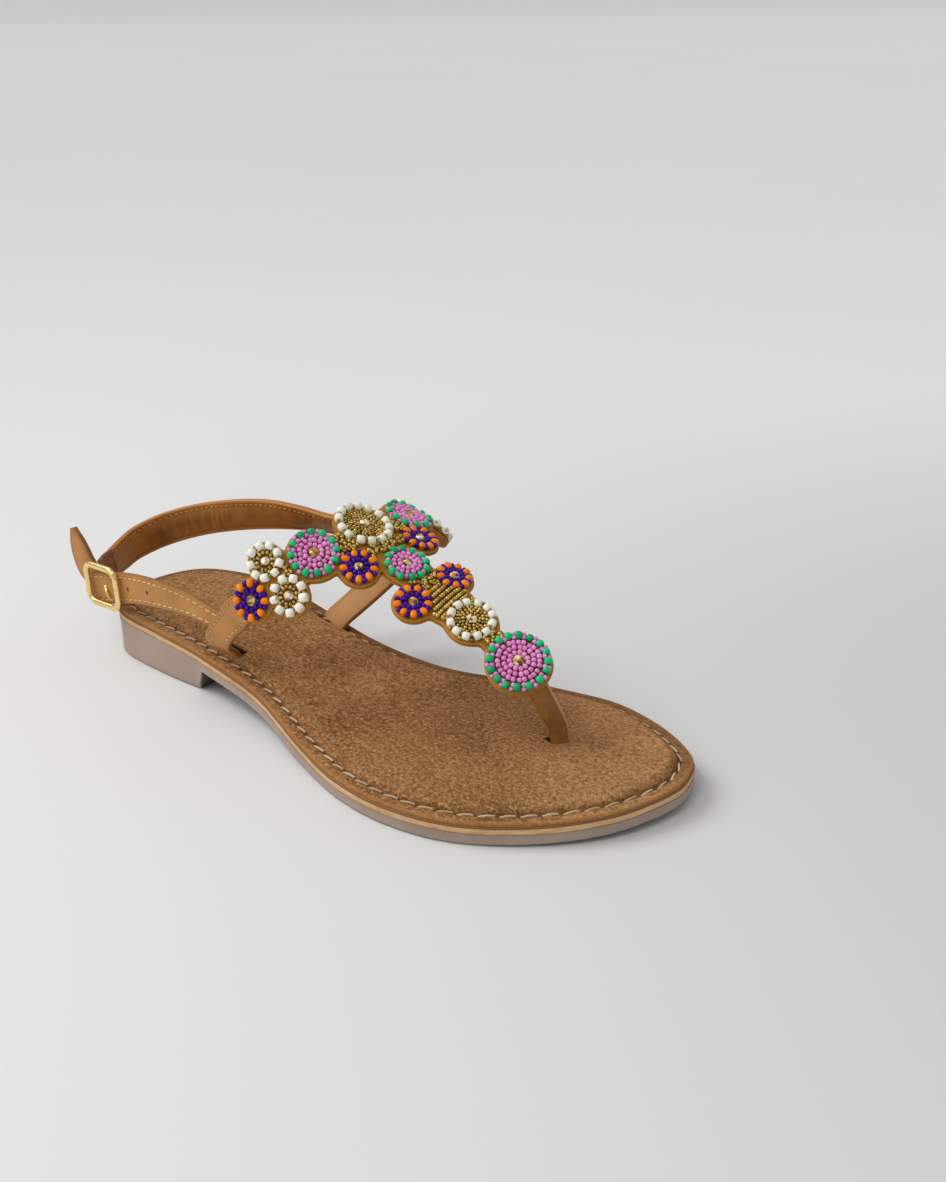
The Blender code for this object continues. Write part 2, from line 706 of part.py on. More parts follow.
def build_buckle():
    """A rounded frame that lies on the outer face of the buckle strap, and its prong."""
    along = (BUCKLE_FRONT - BUCKLE_REAR) / np.linalg.norm(BUCKLE_FRONT - BUCKLE_REAR)
    outward = np.cross(along, (0.0, 0.0, 1.0))
    outward /= np.linalg.norm(outward)
    upright = np.cross(outward, along)
    centre = BUCKLE_MIDDLE + outward * (STRAP_THICKNESS / 2.0 + BUCKLE_CLEARANCE + BUCKLE_WIRE / 2.0)
    inner = BUCKLE_CORNER - BUCKLE_WIRE / 2.0
    path = []
    for turn in range(4):
        quarter = math.radians(90.0 * turn)
        sign_a = (1, -1, -1, 1)[turn]
        sign_b = (1, 1, -1, -1)[turn]
        for step in range(BUCKLE_CORNER_STEPS + 1):
            angle = quarter + math.radians(90.0) * step / BUCKLE_CORNER_STEPS
            a = sign_a * (BUCKLE_LENGTH / 2.0 - BUCKLE_CORNER) + inner * math.cos(angle)
            b = sign_b * (BUCKLE_HEIGHT / 2.0 - BUCKLE_CORNER) + inner * math.sin(angle)
            path.append((a, b))
    points = []
    for i, (a, b) in enumerate(path):
        ahead = np.array(path[(i + 1) % len(path)]) - np.array(path[i - 1])
        ahead /= np.linalg.norm(ahead)
        side = along * ahead[1] - upright * ahead[0]
        for step in range(WIRE_SIDES):
            angle = 2.0 * math.pi * step / WIRE_SIDES
            offset = side * math.cos(angle) + outward * math.sin(angle)
            points.append(centre + along * a + upright * b + offset * BUCKLE_WIRE / 2.0)
    faces = []
    for i in range(len(path)):
        here = i * WIRE_SIDES
        ahead = (i + 1) % len(path) * WIRE_SIDES
        for step in range(WIRE_SIDES):
            after = (step + 1) % WIRE_SIDES
            faces.append((here + step, ahead + step, ahead + after, here + after))
    solid("buckle_frame", points, faces, "gold_metal", SOFT_DEGREES)
    reach = BUCKLE_LENGTH / 2.0 - BUCKLE_WIRE - GAP
    rows = [(*(centre + along * share * reach), PRONG_DIAMETER) for share in (-1.0, 0.0, 1.0)]
    across = [upright] * len(rows)
    ribbon("buckle_prong", rows, across, PRONG_DIAMETER, "gold_metal", PRONG_EASE, PRONG_SAMPLES)


def main():
    for old in list(bpy.data.objects):
        bpy.data.objects.remove(old)
    surface = UpperSurface()
    build_sole(sole_ring())
    build_upper(surface)
    build_straps(surface)
    build_buckle()


main()
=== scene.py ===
# %% [markdown]
# # A beaded T-strap sandal
#
# This lesson dresses a right-foot sandal. Its solids are already there as a fixed frame: a rubber sole, a
# leather midsole, a suede insole, a leather T with beads, and a heel strap with a buckle. Each step below
# looks at one piece of the real shoe, says how it could be made, and makes it.
#
# Lengths are millimetres in the shoemaker's own frame, the last's: x from the back of the heel to the toe,
# y to the inner side of the foot, z up from the floor. `to_metres` moves them to the frame's origin, which is
# on the floor under the middle of the heel.

# %% Frame and units
import math

import bpy
import numpy as np
from mathutils import Matrix, Vector


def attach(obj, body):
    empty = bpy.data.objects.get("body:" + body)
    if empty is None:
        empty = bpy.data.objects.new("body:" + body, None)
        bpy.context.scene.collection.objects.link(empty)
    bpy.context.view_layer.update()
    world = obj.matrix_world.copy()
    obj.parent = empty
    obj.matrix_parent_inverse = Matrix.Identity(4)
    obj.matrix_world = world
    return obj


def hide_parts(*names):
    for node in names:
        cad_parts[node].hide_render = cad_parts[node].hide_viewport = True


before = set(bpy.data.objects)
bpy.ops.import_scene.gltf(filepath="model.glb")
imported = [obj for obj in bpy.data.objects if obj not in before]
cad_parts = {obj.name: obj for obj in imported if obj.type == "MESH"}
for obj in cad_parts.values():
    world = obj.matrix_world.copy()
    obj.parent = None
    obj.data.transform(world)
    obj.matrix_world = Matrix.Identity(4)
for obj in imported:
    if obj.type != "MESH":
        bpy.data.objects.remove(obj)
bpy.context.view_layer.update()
MM = 0.001
LAST_ORIGIN = np.array([38.0, 2.0, 0.0])
SEED = 7
rng = np.random.default_rng(SEED)


def to_metres(points):
    """Points in the last's frame, in millimetres, as metres in the part's frame."""
    return (np.asarray(points, float) - LAST_ORIGIN) * MM


def linked(name, data):
    """A new object in the scene for a mesh, a light or a camera."""
    made = bpy.data.objects.new(name, data)
    bpy.context.scene.collection.objects.link(made)
    return made


print("frame nodes:", len(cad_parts))

# %% [markdown]
# ## Camera
#
# The camera stands where the photographer stood: in front of the toes, on the outer side, a little above the
# shoe. Its place and lens were worked out from the shoe's own proportions, so the render has the same
# perspective. The picture is rolled by one degree, as a hand-held picture often is.

# %% Camera
PICTURE_HEIGHT = 1182
FOCAL_PIXELS = 1443.7
SENSOR = 36.0
CAMERA_PLACE = Vector((0.40442, -0.32247, 0.24163))
CAMERA_FORWARD = Vector((-0.5821, 0.7050, -0.4051)).normalized()
CAMERA_ROLL = math.radians(-1.03)

lens = bpy.data.cameras.new("camera")
lens.sensor_width = SENSOR
lens.lens = FOCAL_PIXELS * SENSOR / PICTURE_HEIGHT
level_right = CAMERA_FORWARD.cross(Vector((0.0, 0.0, 1.0))).normalized()
level_up = level_right.cross(CAMERA_FORWARD)
right = math.cos(CAMERA_ROLL) * level_right + math.sin(CAMERA_ROLL) * level_up
up = math.cos(CAMERA_ROLL) * level_up - math.sin(CAMERA_ROLL) * level_right
turn = Matrix((right, up, -CAMERA_FORWARD)).transposed().to_4x4()
camera = linked("camera", lens)
camera.matrix_world = Matrix.Translation(CAMERA_PLACE) @ turn
bpy.context.scene.camera = camera
print("lens", round(lens.lens, 2), "mm")

# %% [markdown]
# ## Materials: shared effects
#
# Leather, suede and rubber all owe their look to a few effects at different scales. Each effect is a shader
# node group with named inputs, built once and placed in each material with its own values. A group only puts
# out colours, masks and heights; the Principled BSDF stays in the material.

# %% Node helpers
FLOAT = "NodeSocketFloat"
COLOUR = "NodeSocketColor"
VECTOR = "NodeSocketVector"


class Nodes:
    """Short ways to add and join nodes in one tree."""

    def __init__(self, tree):
        self.tree = tree

    def add(self, kind, **settings):
        node = self.tree.nodes.new(kind)
        for name, value in settings.items():
            setattr(node, name, value)
        return node

    def put(self, socket, value):
        """Joins a socket to another socket, or sets its value."""
        if isinstance(value, bpy.types.NodeSocket):
            self.tree.links.new(value, socket)
        else:
            socket.default_value = value

    def step(self, kind, inputs, output, **settings):
        """Adds a node, fills inputs given by name or number, and gives back one output."""
        node = self.add(kind, **settings)
        for name, value in inputs.items():
            self.put(node.inputs[name], value)
        return node.outputs[output]

    def math(self, operation, a, b):
        return self.step("ShaderNodeMath", {0: a, 1: b}, 0, operation=operation)

    def noise(self, place, scale, detail=3.0, roughness=0.55):
        values = {"Vector": place, "Scale": scale, "Detail": detail, "Roughness": roughness}
        return self.step("ShaderNodeTexNoise", values, "Fac")

    def band(self, value, low, high, from_value=0.0, to_value=1.0):
        """A smooth step of a value from low to high."""
        values = {"Value": value, "From Min": low, "From Max": high, "To Min": from_value, "To Max": to_value}
        return self.step("ShaderNodeMapRange", values, "Result", interpolation_type="SMOOTHSTEP")

    def mix(self, share, a, b):
        """A colour between two. The numbers are the sockets of the Mix node that take colours."""
        return self.step("ShaderNodeMix", {0: share, 6: a, 7: b}, 2, data_type="RGBA")

    def attribute(self, name):
        return self.step("ShaderNodeAttribute", {}, "Fac", attribute_name=name)


def named_inputs(tree, sockets):
    """Gives a tree its named inputs, and gives back their identifiers."""
    names = {}
    for label, kind, default in sockets:
        socket = tree.interface.new_socket(label, in_out="INPUT", socket_type=kind)
        if default is not None:
            socket.default_value = default
        names[label] = socket.identifier
    return names


def effect(name, inputs, outputs):
    """An empty shader node group with named sockets: its helper, its inputs and its output node."""
    tree = bpy.data.node_groups.new(name, "ShaderNodeTree")
    named_inputs(tree, inputs)
    for label, kind in outputs:
        tree.interface.new_socket(label, in_out="OUTPUT", socket_type=kind)
    nodes = Nodes(tree)
    return nodes, nodes.add("NodeGroupInput").outputs, nodes.add("NodeGroupOutput").inputs


def srgb(red, green, blue):
    """A colour as a painter names it, from 0 to 255, turned into linear light."""
    shares = np.array([red, green, blue]) / 255.0
    linear = np.where(shares <= 0.04045, shares / 12.92, ((shares + 0.055) / 1.055) ** 2.4)
    return (*linear.tolist(), 1.0)


print("tan leather in linear light:", [round(value, 3) for value in srgb(187, 130, 65)])

# %% Effects: mottle and grain


def build_mottle():
    """Uneven colour at three scales: broad patches, a middle cloud and fine speckle."""
    nodes, inputs, outputs = effect(
        "mottle",
        (
            ("Place", VECTOR, None),
            ("Base", COLOUR, srgb(150, 110, 70)),
            ("Dark", COLOUR, srgb(110, 75, 42)),
            ("Light", COLOUR, srgb(170, 126, 84)),
            ("Patch Scale", FLOAT, 30.0),
            ("Cloud Scale", FLOAT, 160.0),
            ("Speckle Scale", FLOAT, 1500.0),
            ("Patch Share", FLOAT, 0.5),
            ("Speckle Share", FLOAT, 0.3),
        ),
        (("Color", COLOUR), ("Speckle", FLOAT)),
    )
    patch = nodes.noise(inputs["Place"], inputs["Patch Scale"], 2.0)
    cloud = nodes.noise(inputs["Place"], inputs["Cloud Scale"])
    speckle = nodes.noise(inputs["Place"], inputs["Speckle Scale"], 4.0, 0.7)
    broad = nodes.math("ADD", nodes.math("MULTIPLY", patch, 0.6), nodes.math("MULTIPLY", cloud, 0.4))
    colour = inputs["Base"]
    for pattern, none, full, share, tint in (
        (broad, 0.52, 0.34, "Patch Share", "Dark"),
        (broad, 0.5, 0.68, "Patch Share", "Light"),
        (speckle, 0.5, 0.3, "Speckle Share", "Dark"),
        (speckle, 0.5, 0.72, "Speckle Share", "Light"),
    ):
        mask = nodes.math("MULTIPLY", nodes.band(pattern, none, full), inputs[share])
        colour = nodes.mix(mask, colour, inputs[tint])
    nodes.put(outputs["Color"], colour)
    nodes.put(outputs["Speckle"], speckle)
    return nodes.tree


def build_grain():
    """Height of a leather's grain: small pebbles with creases between them, and a broader ripple."""
    nodes, inputs, outputs = effect(
        "grain",
        (
            ("Place", VECTOR, None),
            ("Pebble Scale", FLOAT, 900.0),
            ("Ripple Scale", FLOAT, 220.0),
            ("Ripple Share", FLOAT, 0.4),
        ),
        (("Height", FLOAT),),
    )
    values = {"Vector": inputs["Place"], "Scale": inputs["Pebble Scale"]}
    crease = nodes.step("ShaderNodeTexVoronoi", values, "Distance", feature="DISTANCE_TO_EDGE")
    ripple = nodes.noise(inputs["Place"], inputs["Ripple Scale"])
    ripple = nodes.math("MULTIPLY", ripple, inputs["Ripple Share"])
    nodes.put(outputs["Height"], nodes.math("ADD", nodes.band(crease, 0.0, 0.25), ripple))
    return nodes.tree


mottle = build_mottle()
grain = build_grain()
print("effects:", mottle.name, grain.name)

# %% [markdown]
# ## Finishes
#
# One small function makes the shell of a material: an Object coordinate, a Principled BSDF and a Bump node.
# Values that are the same all over the surface are set on the shader's own sockets.

# %% Finish helper


class Finish(Nodes):
    """A material with its Principled BSDF, ready for colour, roughness and bump."""

    def __init__(self, name, roughness=0.5, metallic=0.0, coat=0.0, sheen=0.0, specular=0.5):
        self.material = bpy.data.materials.new(name)
        self.material.use_nodes = True
        super().__init__(self.material.node_tree)
        self.shader = self.tree.nodes["Principled BSDF"]
        self.place = self.step("ShaderNodeTexCoord", {}, "Object")
        self.set("Roughness", roughness)
        self.set("Metallic", metallic)
        self.set("Coat Weight", coat)
        self.set("Sheen Weight", sheen)
        self.set("Specular IOR Level", specular)

    def set(self, socket, value):
        self.put(self.shader.inputs[socket], value)

    def group(self, tree, **values):
        node = self.add("ShaderNodeGroup", node_tree=tree)
        self.put(node.inputs["Place"], self.place)
        for name, value in values.items():
            self.put(node.inputs[name.replace("_", " ")], value)
        return node.outputs

    def mottled(self, colours, scales, shares):
        """The mottle: base, dark and light; patch, cloud and speckle scales; patch and speckle shares."""
        values = dict(zip(("Base", "Dark", "Light"), colours))
        values.update(zip(("Patch_Scale", "Cloud_Scale", "Speckle_Scale"), scales))
        values.update(zip(("Patch_Share", "Speckle_Share"), shares))
        return self.group(mottle, **values)

    def stretched(self, x, y, z):
        """Object coordinates drawn out, so that a pattern runs along one way."""
        return self.step("ShaderNodeMapping", {"Vector": self.place, "Scale": (x, y, z)}, "Vector")

    def axis(self, name):
        return self.step("ShaderNodeSeparateXYZ", {"Vector": self.place}, name)

    def layered(self, colour, *layers):
        """A colour with others laid over it. Each layer is its share, its mask and its tint."""
        for share, mask, tint in layers:
            colour = self.mix(self.math("MULTIPLY", mask, share), colour, tint)
        return colour

    def bump(self, height, strength, depth_mm):
        values = {"Strength": strength, "Distance": depth_mm * MM, "Height": height}
        self.set("Normal", self.step("ShaderNodeBump", values, "Normal"))


# %% [markdown]
# ### Suede, cut leather and rubber
#
# The sole's three layers differ in their skins. Suede is a nap of short fibres that lie in patches, so mottle
# gives its colour and fine streaks lie over it; its stitched groove, its slots and the inner edge of its pad
# are darkened with painted shade. The cut edge of a leather shows its fibres lengthwise, so its noise is
# drawn out along the edge. Rubber is nearly even, with painted shade where it turns under the shoe.

# %% Suede, leather edge and rubber


def suede_finish():
    """Brown suede: a nap in patches and streaks, paler at toe and heel, with a smooth cut rim and painted
    shade.
    """
    finish = Finish("suede", roughness=0.92, sheen=0.12, specular=0.08)
    finish.set("Sheen Roughness", 0.45)
    finish.set("Sheen Tint", srgb(214, 170, 120))
    colours = (srgb(158, 110, 67), srgb(110, 71, 38), srgb(188, 140, 94))
    nap = finish.mottled(colours, (34.0, 190.0, 720.0), (0.62, 0.6))
    streaks = finish.noise(finish.stretched(0.85, 1.0, 1.0), 900.0, 4.0, 0.8)
    far = finish.axis("X")
    inner = finish.axis("Y")
    inset = finish.attribute("inset")
    inner_toe = finish.math("ADD", far, inner)
    # Painted shade: the rim and pad edge on the inner side, in shadow beyond the pad, are darkened.
    shoulder = finish.math("MULTIPLY", finish.band(inset, 8.4, 6.6), finish.band(inner, 0.0, 0.02))
    ragged = finish.math("ADD", inset, finish.math("MULTIPLY", streaks, 1.6))
    # Painted shade in the stitched groove.
    channel_shade = finish.math("MULTIPLY", finish.band(inset, 3.7, 4.3), finish.band(inset, 5.9, 5.1))
    colour = finish.layered(
        nap["Color"],
        (0.5, finish.band(inner_toe, 0.13, 0.2), srgb(192, 142, 94)),
        (0.4, finish.band(far, 0.05, 0.0), srgb(192, 144, 98)),
        (0.8, finish.band(streaks, 0.5, 0.36), srgb(98, 61, 31)),
        (0.75, finish.band(streaks, 0.5, 0.64), srgb(212, 164, 114)),
        (0.55, shoulder, srgb(98, 62, 34)),
        (0.6, finish.band(ragged, 2.6, 1.6), srgb(180, 127, 76)),
        (0.4, channel_shade, srgb(92, 58, 32)),
        # Painted shade: the slots and the spot beside the toe post are painted nearly black.
        (1.0, finish.band(finish.attribute("hollow"), 0.05, 0.5), srgb(30, 17, 9)),
    )
    finish.set("Base Color", colour)
    fibre = finish.noise(finish.stretched(1.0, 0.55, 1.0), 1500.0, 4.0, 0.7)
    fibre = finish.math("MULTIPLY", fibre, 0.6)
    finish.bump(finish.math("ADD", finish.math("ADD", nap["Speckle"], streaks), fibre), 0.7, 0.6)
    return finish.material


def midsole_finish():
    """Pale cut edge of the leather midsole: fibres that run along it, a dark line and a brown top."""
    finish = Finish("midsole_leather", roughness=0.62, specular=0.3)
    fibres = finish.noise(finish.stretched(0.12, 0.12, 1.6), 1500.0, 4.0, 0.65)
    colours = (srgb(222, 182, 132), srgb(180, 132, 82), srgb(240, 208, 164))
    tone = finish.mottled(colours, (60.0, 300.0, 2200.0), (0.5, 0.15))
    level = finish.attribute("level")
    line = finish.math("MULTIPLY", finish.band(level, 0.7, 0.76), finish.band(level, 0.88, 0.8))
    colour = finish.layered(
        tone["Color"],
        (0.5, finish.band(fibres, 0.56, 0.36), srgb(172, 122, 74)),
        (0.35, finish.band(level, 0.2, 0.0), srgb(168, 128, 88)),
        (1.0, finish.band(level, 0.74, 0.82), srgb(150, 100, 56)),
        (0.8, line, srgb(88, 54, 28)),
    )
    finish.set("Base Color", colour)
    finish.bump(fibres, 0.3, 0.15)
    return finish.material


def rubber_finish():
    """Taupe rubber with a matt skin and faint flow marks, darker at its foot, with painted shade on its
    underside.
    """
    finish = Finish("rubber", roughness=0.62, specular=0.35)
    colours = (srgb(170, 150, 136), srgb(150, 131, 118), srgb(182, 163, 149))
    tone = finish.mottled(colours, (22.0, 120.0, 1900.0), (0.4, 0.16))
    level = finish.attribute("level")
    foot = (0.5, finish.band(level, 0.16, 0.0), srgb(134, 117, 106))
    # Painted shade: the underside and the heel's breast face the floor, so they are darkened.
    underside_shade = (0.85, finish.band(level, -0.02, -0.25), srgb(62, 50, 43))
    finish.set("Base Color", finish.layered(tone["Color"], foot, underside_shade))
    finish.set("Roughness", finish.band(tone["Speckle"], 0.3, 0.7, 0.52, 0.72))
    finish.bump(tone["Speckle"], 0.12, 0.12)
    return finish.material


suede = suede_finish()
midsole_leather = midsole_finish()
rubber = rubber_finish()
print("sole materials:", suede.name, midsole_leather.name, rubber.name)

# %% [markdown]
# ### Strap leathers and elastic
#
# The straps, their lining, the toe post and the T are smooth dyed leather, so one function makes them with
# their own colours. Where a leather was cut and burnished its edge has another tone, and seam grooves and the
# valleys of creases are darkened as painted shade. Both are values on the points of the mesh. The elastic is
# a woven web.

# %% Strap leathers, lining and elastic


def strap_finish(name, base, dark, light, edge, roughness=0.48):
    """Smooth leather with a fine grain. Its edges have a tone of their own, and seam grooves and crease
    valleys get painted shade.
    """
    finish = Finish(name, roughness=roughness, coat=0.03, specular=0.3)
    tone = finish.mottled((base, dark, light), (45.0, 260.0, 2400.0), (0.5, 0.14))
    pebbles = finish.group(grain, Pebble_Scale=1900.0, Ripple_Scale=260.0, Ripple_Share=1.2)
    rubbed = (0.85, finish.attribute("edge"), edge)
    # Painted shade in seam grooves, edge clefts and crease valleys.
    furrow = (0.65, finish.attribute("furrow"), dark)
    finish.set("Base Color", finish.layered(tone["Color"], rubbed, furrow))
    finish.set("Roughness", finish.band(tone["Speckle"], 0.3, 0.7, roughness - 0.06, roughness + 0.1))
    finish.bump(pebbles["Height"], 0.16, 0.12)
    return finish.material


def elastic_finish():
    """Brown elastic: its ribs are in the mesh, and the weave of each rib is a bump."""
    finish = Finish("elastic_web", roughness=0.8, sheen=0.15, specular=0.25)
    weave = finish.noise(finish.stretched(0.4, 0.4, 1.6), 2600.0, 2.0)
    raised = finish.band(weave, 0.35, 0.65)
    finish.set("Base Color", finish.mix(raised, srgb(136, 90, 52), srgb(168, 114, 68)))
    finish.bump(weave, 0.4, 0.2)
    return finish.material


strap_leather = strap_finish(
    "strap_leather", srgb(187, 130, 65), srgb(157, 103, 44), srgb(201, 146, 80), srgb(138, 84, 34)
)
golden_leather = strap_finish(
    "golden_strap_leather", srgb(172, 110, 44), srgb(138, 84, 30), srgb(190, 130, 60), srgb(184, 118, 50)
)
post_leather = strap_finish(
    "post_leather", srgb(172, 116, 56), srgb(92, 56, 20), srgb(190, 132, 68), srgb(214, 154, 72)
)
lining_leather = strap_finish(
    "lining_leather", srgb(164, 105, 42), srgb(102, 60, 20), srgb(196, 134, 62), srgb(206, 138, 62), 0.4
)
base_leather = strap_finish(
    "base_leather", srgb(172, 116, 30), srgb(132, 84, 16), srgb(192, 138, 46), srgb(196, 138, 44), 0.55
)
edge_leather = strap_finish(
    "edge_leather", srgb(196, 142, 56), srgb(140, 90, 26), srgb(214, 164, 80), srgb(150, 96, 30), 0.6
)
elastic_web = elastic_finish()
print("materials so far:", len(bpy.data.materials))

# %% [markdown]
# ### Threads, beads, stones and metal
#
# Small things that repeat never match exactly. Each stitch and bead carries a tone between 0 and 1, and its
# material mixes two colours by it. A cut stone has foil behind it, so its facets flash in single spots: cells
# of a Voronoi texture paint the stone's reflections, dark or lit, and pick a few as painted glints.

# %% Thread, beads, stones and metal
FACET_SCALE = 850.0


def plain_finish(name, colour, dark, roughness, metallic=0.0, coat=0.0, specular=0.5):
    """A small thing whose own tone is kept in the mesh as an attribute."""
    finish = Finish(name, roughness=roughness, metallic=metallic, coat=coat, specular=specular)
    finish.set("Base Color", finish.mix(finish.attribute("tone"), dark, colour))
    return finish


def bead_finish(name, colour, dark, roughness=0.16, metallic=0.0, coat=0.0):
    """Glass or gilded seed beads with a slightly uneven skin."""
    finish = plain_finish(name, colour, dark, roughness, metallic, coat, 0.2)
    finish.set("Coat Roughness", 0.08)
    finish.bump(finish.noise(finish.place, 1400.0, 2.0), 0.08, 0.1)
    return finish.material


def thread_finish(name, colour, dark):
    """Sewing thread, with its twist as a bump."""
    finish = plain_finish(name, colour, dark, 0.75, specular=0.25)
    finish.bump(finish.noise(finish.place, 3800.0, 2.0), 0.5, 0.15)
    return finish.material


def hole_shade_finish():
    """Painted shade: the dark inside of a hole in leather."""
    finish = Finish("needle_hole", roughness=0.9)
    shade = finish.noise(finish.place, 900.0)
    finish.set("Base Color", finish.mix(shade, srgb(84, 52, 28), srgb(110, 70, 38)))
    return finish.material


def metal_finish():
    """Polished light gold with fine rubbed marks."""
    finish = Finish("gold_metal", roughness=0.2, metallic=1.0)
    marks = finish.noise(finish.stretched(0.3, 1.0, 1.0), 1300.0, 4.0, 0.65)
    rubbed = finish.band(marks, 0.3, 0.7)
    finish.set("Base Color", finish.mix(rubbed, srgb(240, 202, 122), srgb(252, 228, 168)))
    finish.set("Roughness", finish.band(marks, 0.3, 0.7, 0.16, 0.26))
    finish.bump(marks, 0.02, 0.03)
    return finish.material


def stone_finish(name, dark, colour, glint):
    """A foil-backed faceted stone: painted reflections, dark or lit in cells, with a few cells as painted
    glints.
    """
    finish = Finish(name, roughness=0.1, metallic=0.25, coat=0.5)
    cells = finish.step("ShaderNodeTexVoronoi", {"Vector": finish.place, "Scale": FACET_SCALE}, "Color")
    chance = finish.step("ShaderNodeSeparateColor", {"Color": cells}, "Red")
    # Painted reflections and glints: each cell is a dark, lit or glinting facet.
    lit = finish.mix(finish.band(chance, 0.15, 0.5), dark, colour)
    finish.set("Base Color", finish.mix(finish.band(chance, 0.66, 0.78), lit, glint))
    return finish.material


insole_thread = thread_finish("insole_thread", srgb(214, 188, 156), srgb(180, 148, 112))
strap_thread = thread_finish("strap_thread", srgb(236, 194, 138), srgb(206, 158, 100))
tone_thread = thread_finish("tone_thread", srgb(202, 142, 72), srgb(166, 110, 50))
needle_hole = hole_shade_finish()
gold_metal = metal_finish()
BEAD_MATERIALS = {
    "pink": bead_finish("pink_beads", srgb(248, 164, 222), srgb(228, 130, 198)),
    "purple": bead_finish("purple_beads", srgb(78, 14, 170), srgb(54, 6, 128)),
    "gold": bead_finish("gold_beads", srgb(232, 200, 112), srgb(156, 122, 52), 0.26, 0.6, 0.1),
    "green": bead_finish("green_beads", srgb(36, 206, 126), srgb(12, 160, 92)),
    "orange": bead_finish("orange_beads", srgb(255, 148, 8), srgb(255, 124, 2)),
    "white": bead_finish("white_beads", srgb(255, 253, 240), srgb(242, 237, 216)),
    # A stone's three colours are its painted dark reflection, its lit tone and a painted glint.
    "amber": stone_finish("amber_stone", srgb(88, 54, 18), srgb(204, 150, 74), srgb(255, 240, 200)),
    "clear": stone_finish("clear_stone", srgb(150, 112, 80), srgb(228, 196, 164), srgb(255, 248, 236)),
}
print("materials:", len(bpy.data.materials))

# %% [markdown]
# ## Meshes from code
#
# Most pieces here are lofts: rings of points joined by faces. `piece` turns points and faces into an object,
# with smooth shading, its material and any attribute that the material reads. `dress` then hangs the piece on
# the root body and hides the solids of the frame that it stands for.

# %% Mesh helpers
SHARP_DEGREES = 38.0


def piece(name, points, faces, materials, choice=None, sharp=SHARP_DEGREES, **attributes):
    """An object from points in the last's frame. choice is each face's material."""
    mesh = bpy.data.meshes.new(name)
    mesh.from_pydata(to_metres(points).tolist(), [], [list(face) for face in faces])
    for material in materials:
        mesh.materials.append(material)
    if choice is not None:
        mesh.polygons.foreach_set("material_index", np.asarray(choice, np.int32))
    for label, values in attributes.items():
        layer = mesh.attributes.new(label, "FLOAT", "POINT")
        layer.data.foreach_set("value", np.asarray(values, np.float32))
    mesh.shade_smooth()
    mesh.set_sharp_from_angle(angle=math.radians(sharp))
    return linked(name, mesh)


def dress(made, slot, *nodes):
    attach(made, "root")
    if nodes:
        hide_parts(*nodes)
    return made


def smooth_curve(rows, samples, closed=False):
    """Points along a smooth curve through the rows, samples of them to each span.

    The first three columns set the curve's pace.
    """
    rows = np.asarray(rows, float)
    spans = len(rows) if closed else len(rows) - 1
    steps = np.linalg.norm((np.roll(rows, -1, axis=0) - rows)[:, :3], axis=1) ** 0.5
    after = (np.roll(rows, -1, axis=0) - rows) / steps[:, None]
    before = np.roll(after, 1, axis=0)
    weight = (np.roll(steps, 1) / (np.roll(steps, 1) + steps))[:, None]
    tangents = before * (1.0 - weight) + after * weight
    if not closed:
        tangents[0] = after[0]
        tangents[-1] = before[-1]
    u = (np.arange(samples) / samples)[None, :, None]
    i = np.arange(spans)
    j = (i + 1) % len(rows)
    curve = rows[i][:, None] * (2 * u**3 - 3 * u**2 + 1) + rows[j][:, None] * (3 * u**2 - 2 * u**3)
    pace = steps[i][:, None, None]
    curve = curve + tangents[i][:, None] * pace * (u**3 - 2 * u**2 + u)
    curve = curve + tangents[j][:, None] * pace * (u**3 - u**2)
    curve = curve.reshape(-1, rows.shape[1])
    return curve if closed else np.vstack([curve, rows[-1:]])


def evenly(curve, spacing, closed=False):
    """The curve again with its points an even distance apart."""
    line = np.vstack([curve, curve[:1]]) if closed else np.asarray(curve)
    reach = np.concatenate([[0.0], np.cumsum(np.linalg.norm(np.diff(line[:, :3], axis=0), axis=1))])
    count = max(4, int(round(reach[-1] / spacing)))
    marks = np.linspace(0.0, reach[-1], count + 1)
    even = np.column_stack([np.interp(marks, reach, column) for column in line.T])
    return even[:-1] if closed else even


def smoothstep(value, low, high):
    share = np.clip((value - low) / (high - low), 0.0, 1.0)
    return share * share * (3.0 - 2.0 * share)


def turns(sides):
    """Angles of the points of a round section."""
    return np.arange(sides) * 2.0 * math.pi / sides


def crowded(count):
    """Shares from 0 to 1 that crowd towards both ends."""
    return (1.0 - np.cos(np.linspace(0.0, math.pi, count + 1))) / 2.0


def tube_faces(levels, size, caps=True):
    """Faces of a loft of closed sections: size points to a section, levels sections."""
    faces = []
    for level in range(levels - 1):
        low = level * size
        for i in range(size):
            j = (i + 1) % size
            faces.append((low + i, low + j, low + size + j, low + size + i))
    if caps:
        faces.append(tuple(reversed(range(size))))
        faces.append(tuple((levels - 1) * size + i for i in range(size)))
    return faces


def loop_faces(levels, size):
    """Faces of a loft whose last section joins its first."""
    count = levels * size
    return [tuple(i % count for i in face) for face in tube_faces(levels + 1, size, caps=False)]


print("faces of a box as a tube:", len(tube_faces(2, 4)))

# %% [markdown]
# ## The sole's outline
#
# Everything in the sole follows one outline, the line a shoemaker draws round the last. A short table gives
# its outer and inner edge at thirteen distances from the heel; a smooth closed curve runs through them. The
# height of the sole changes along its length: heel seat, shank, forefoot and a slight toe spring.

# %% Sole outline
HEEL_HEIGHT = 16.8
FOREFOOT_HEIGHT = 6.3
TOE_SPRING = 2.2
SHANK_START = 60.0
SHANK_END = 160.0
SPRING_START = 205.0
TOE_TIP = (251.2, 8.8)
HEEL_TIP = (12.6, 0.0)
HEEL_BREAST = 71.4
BREAST_RUN = 6.0
MIDSOLE_THICKNESS = 2.5
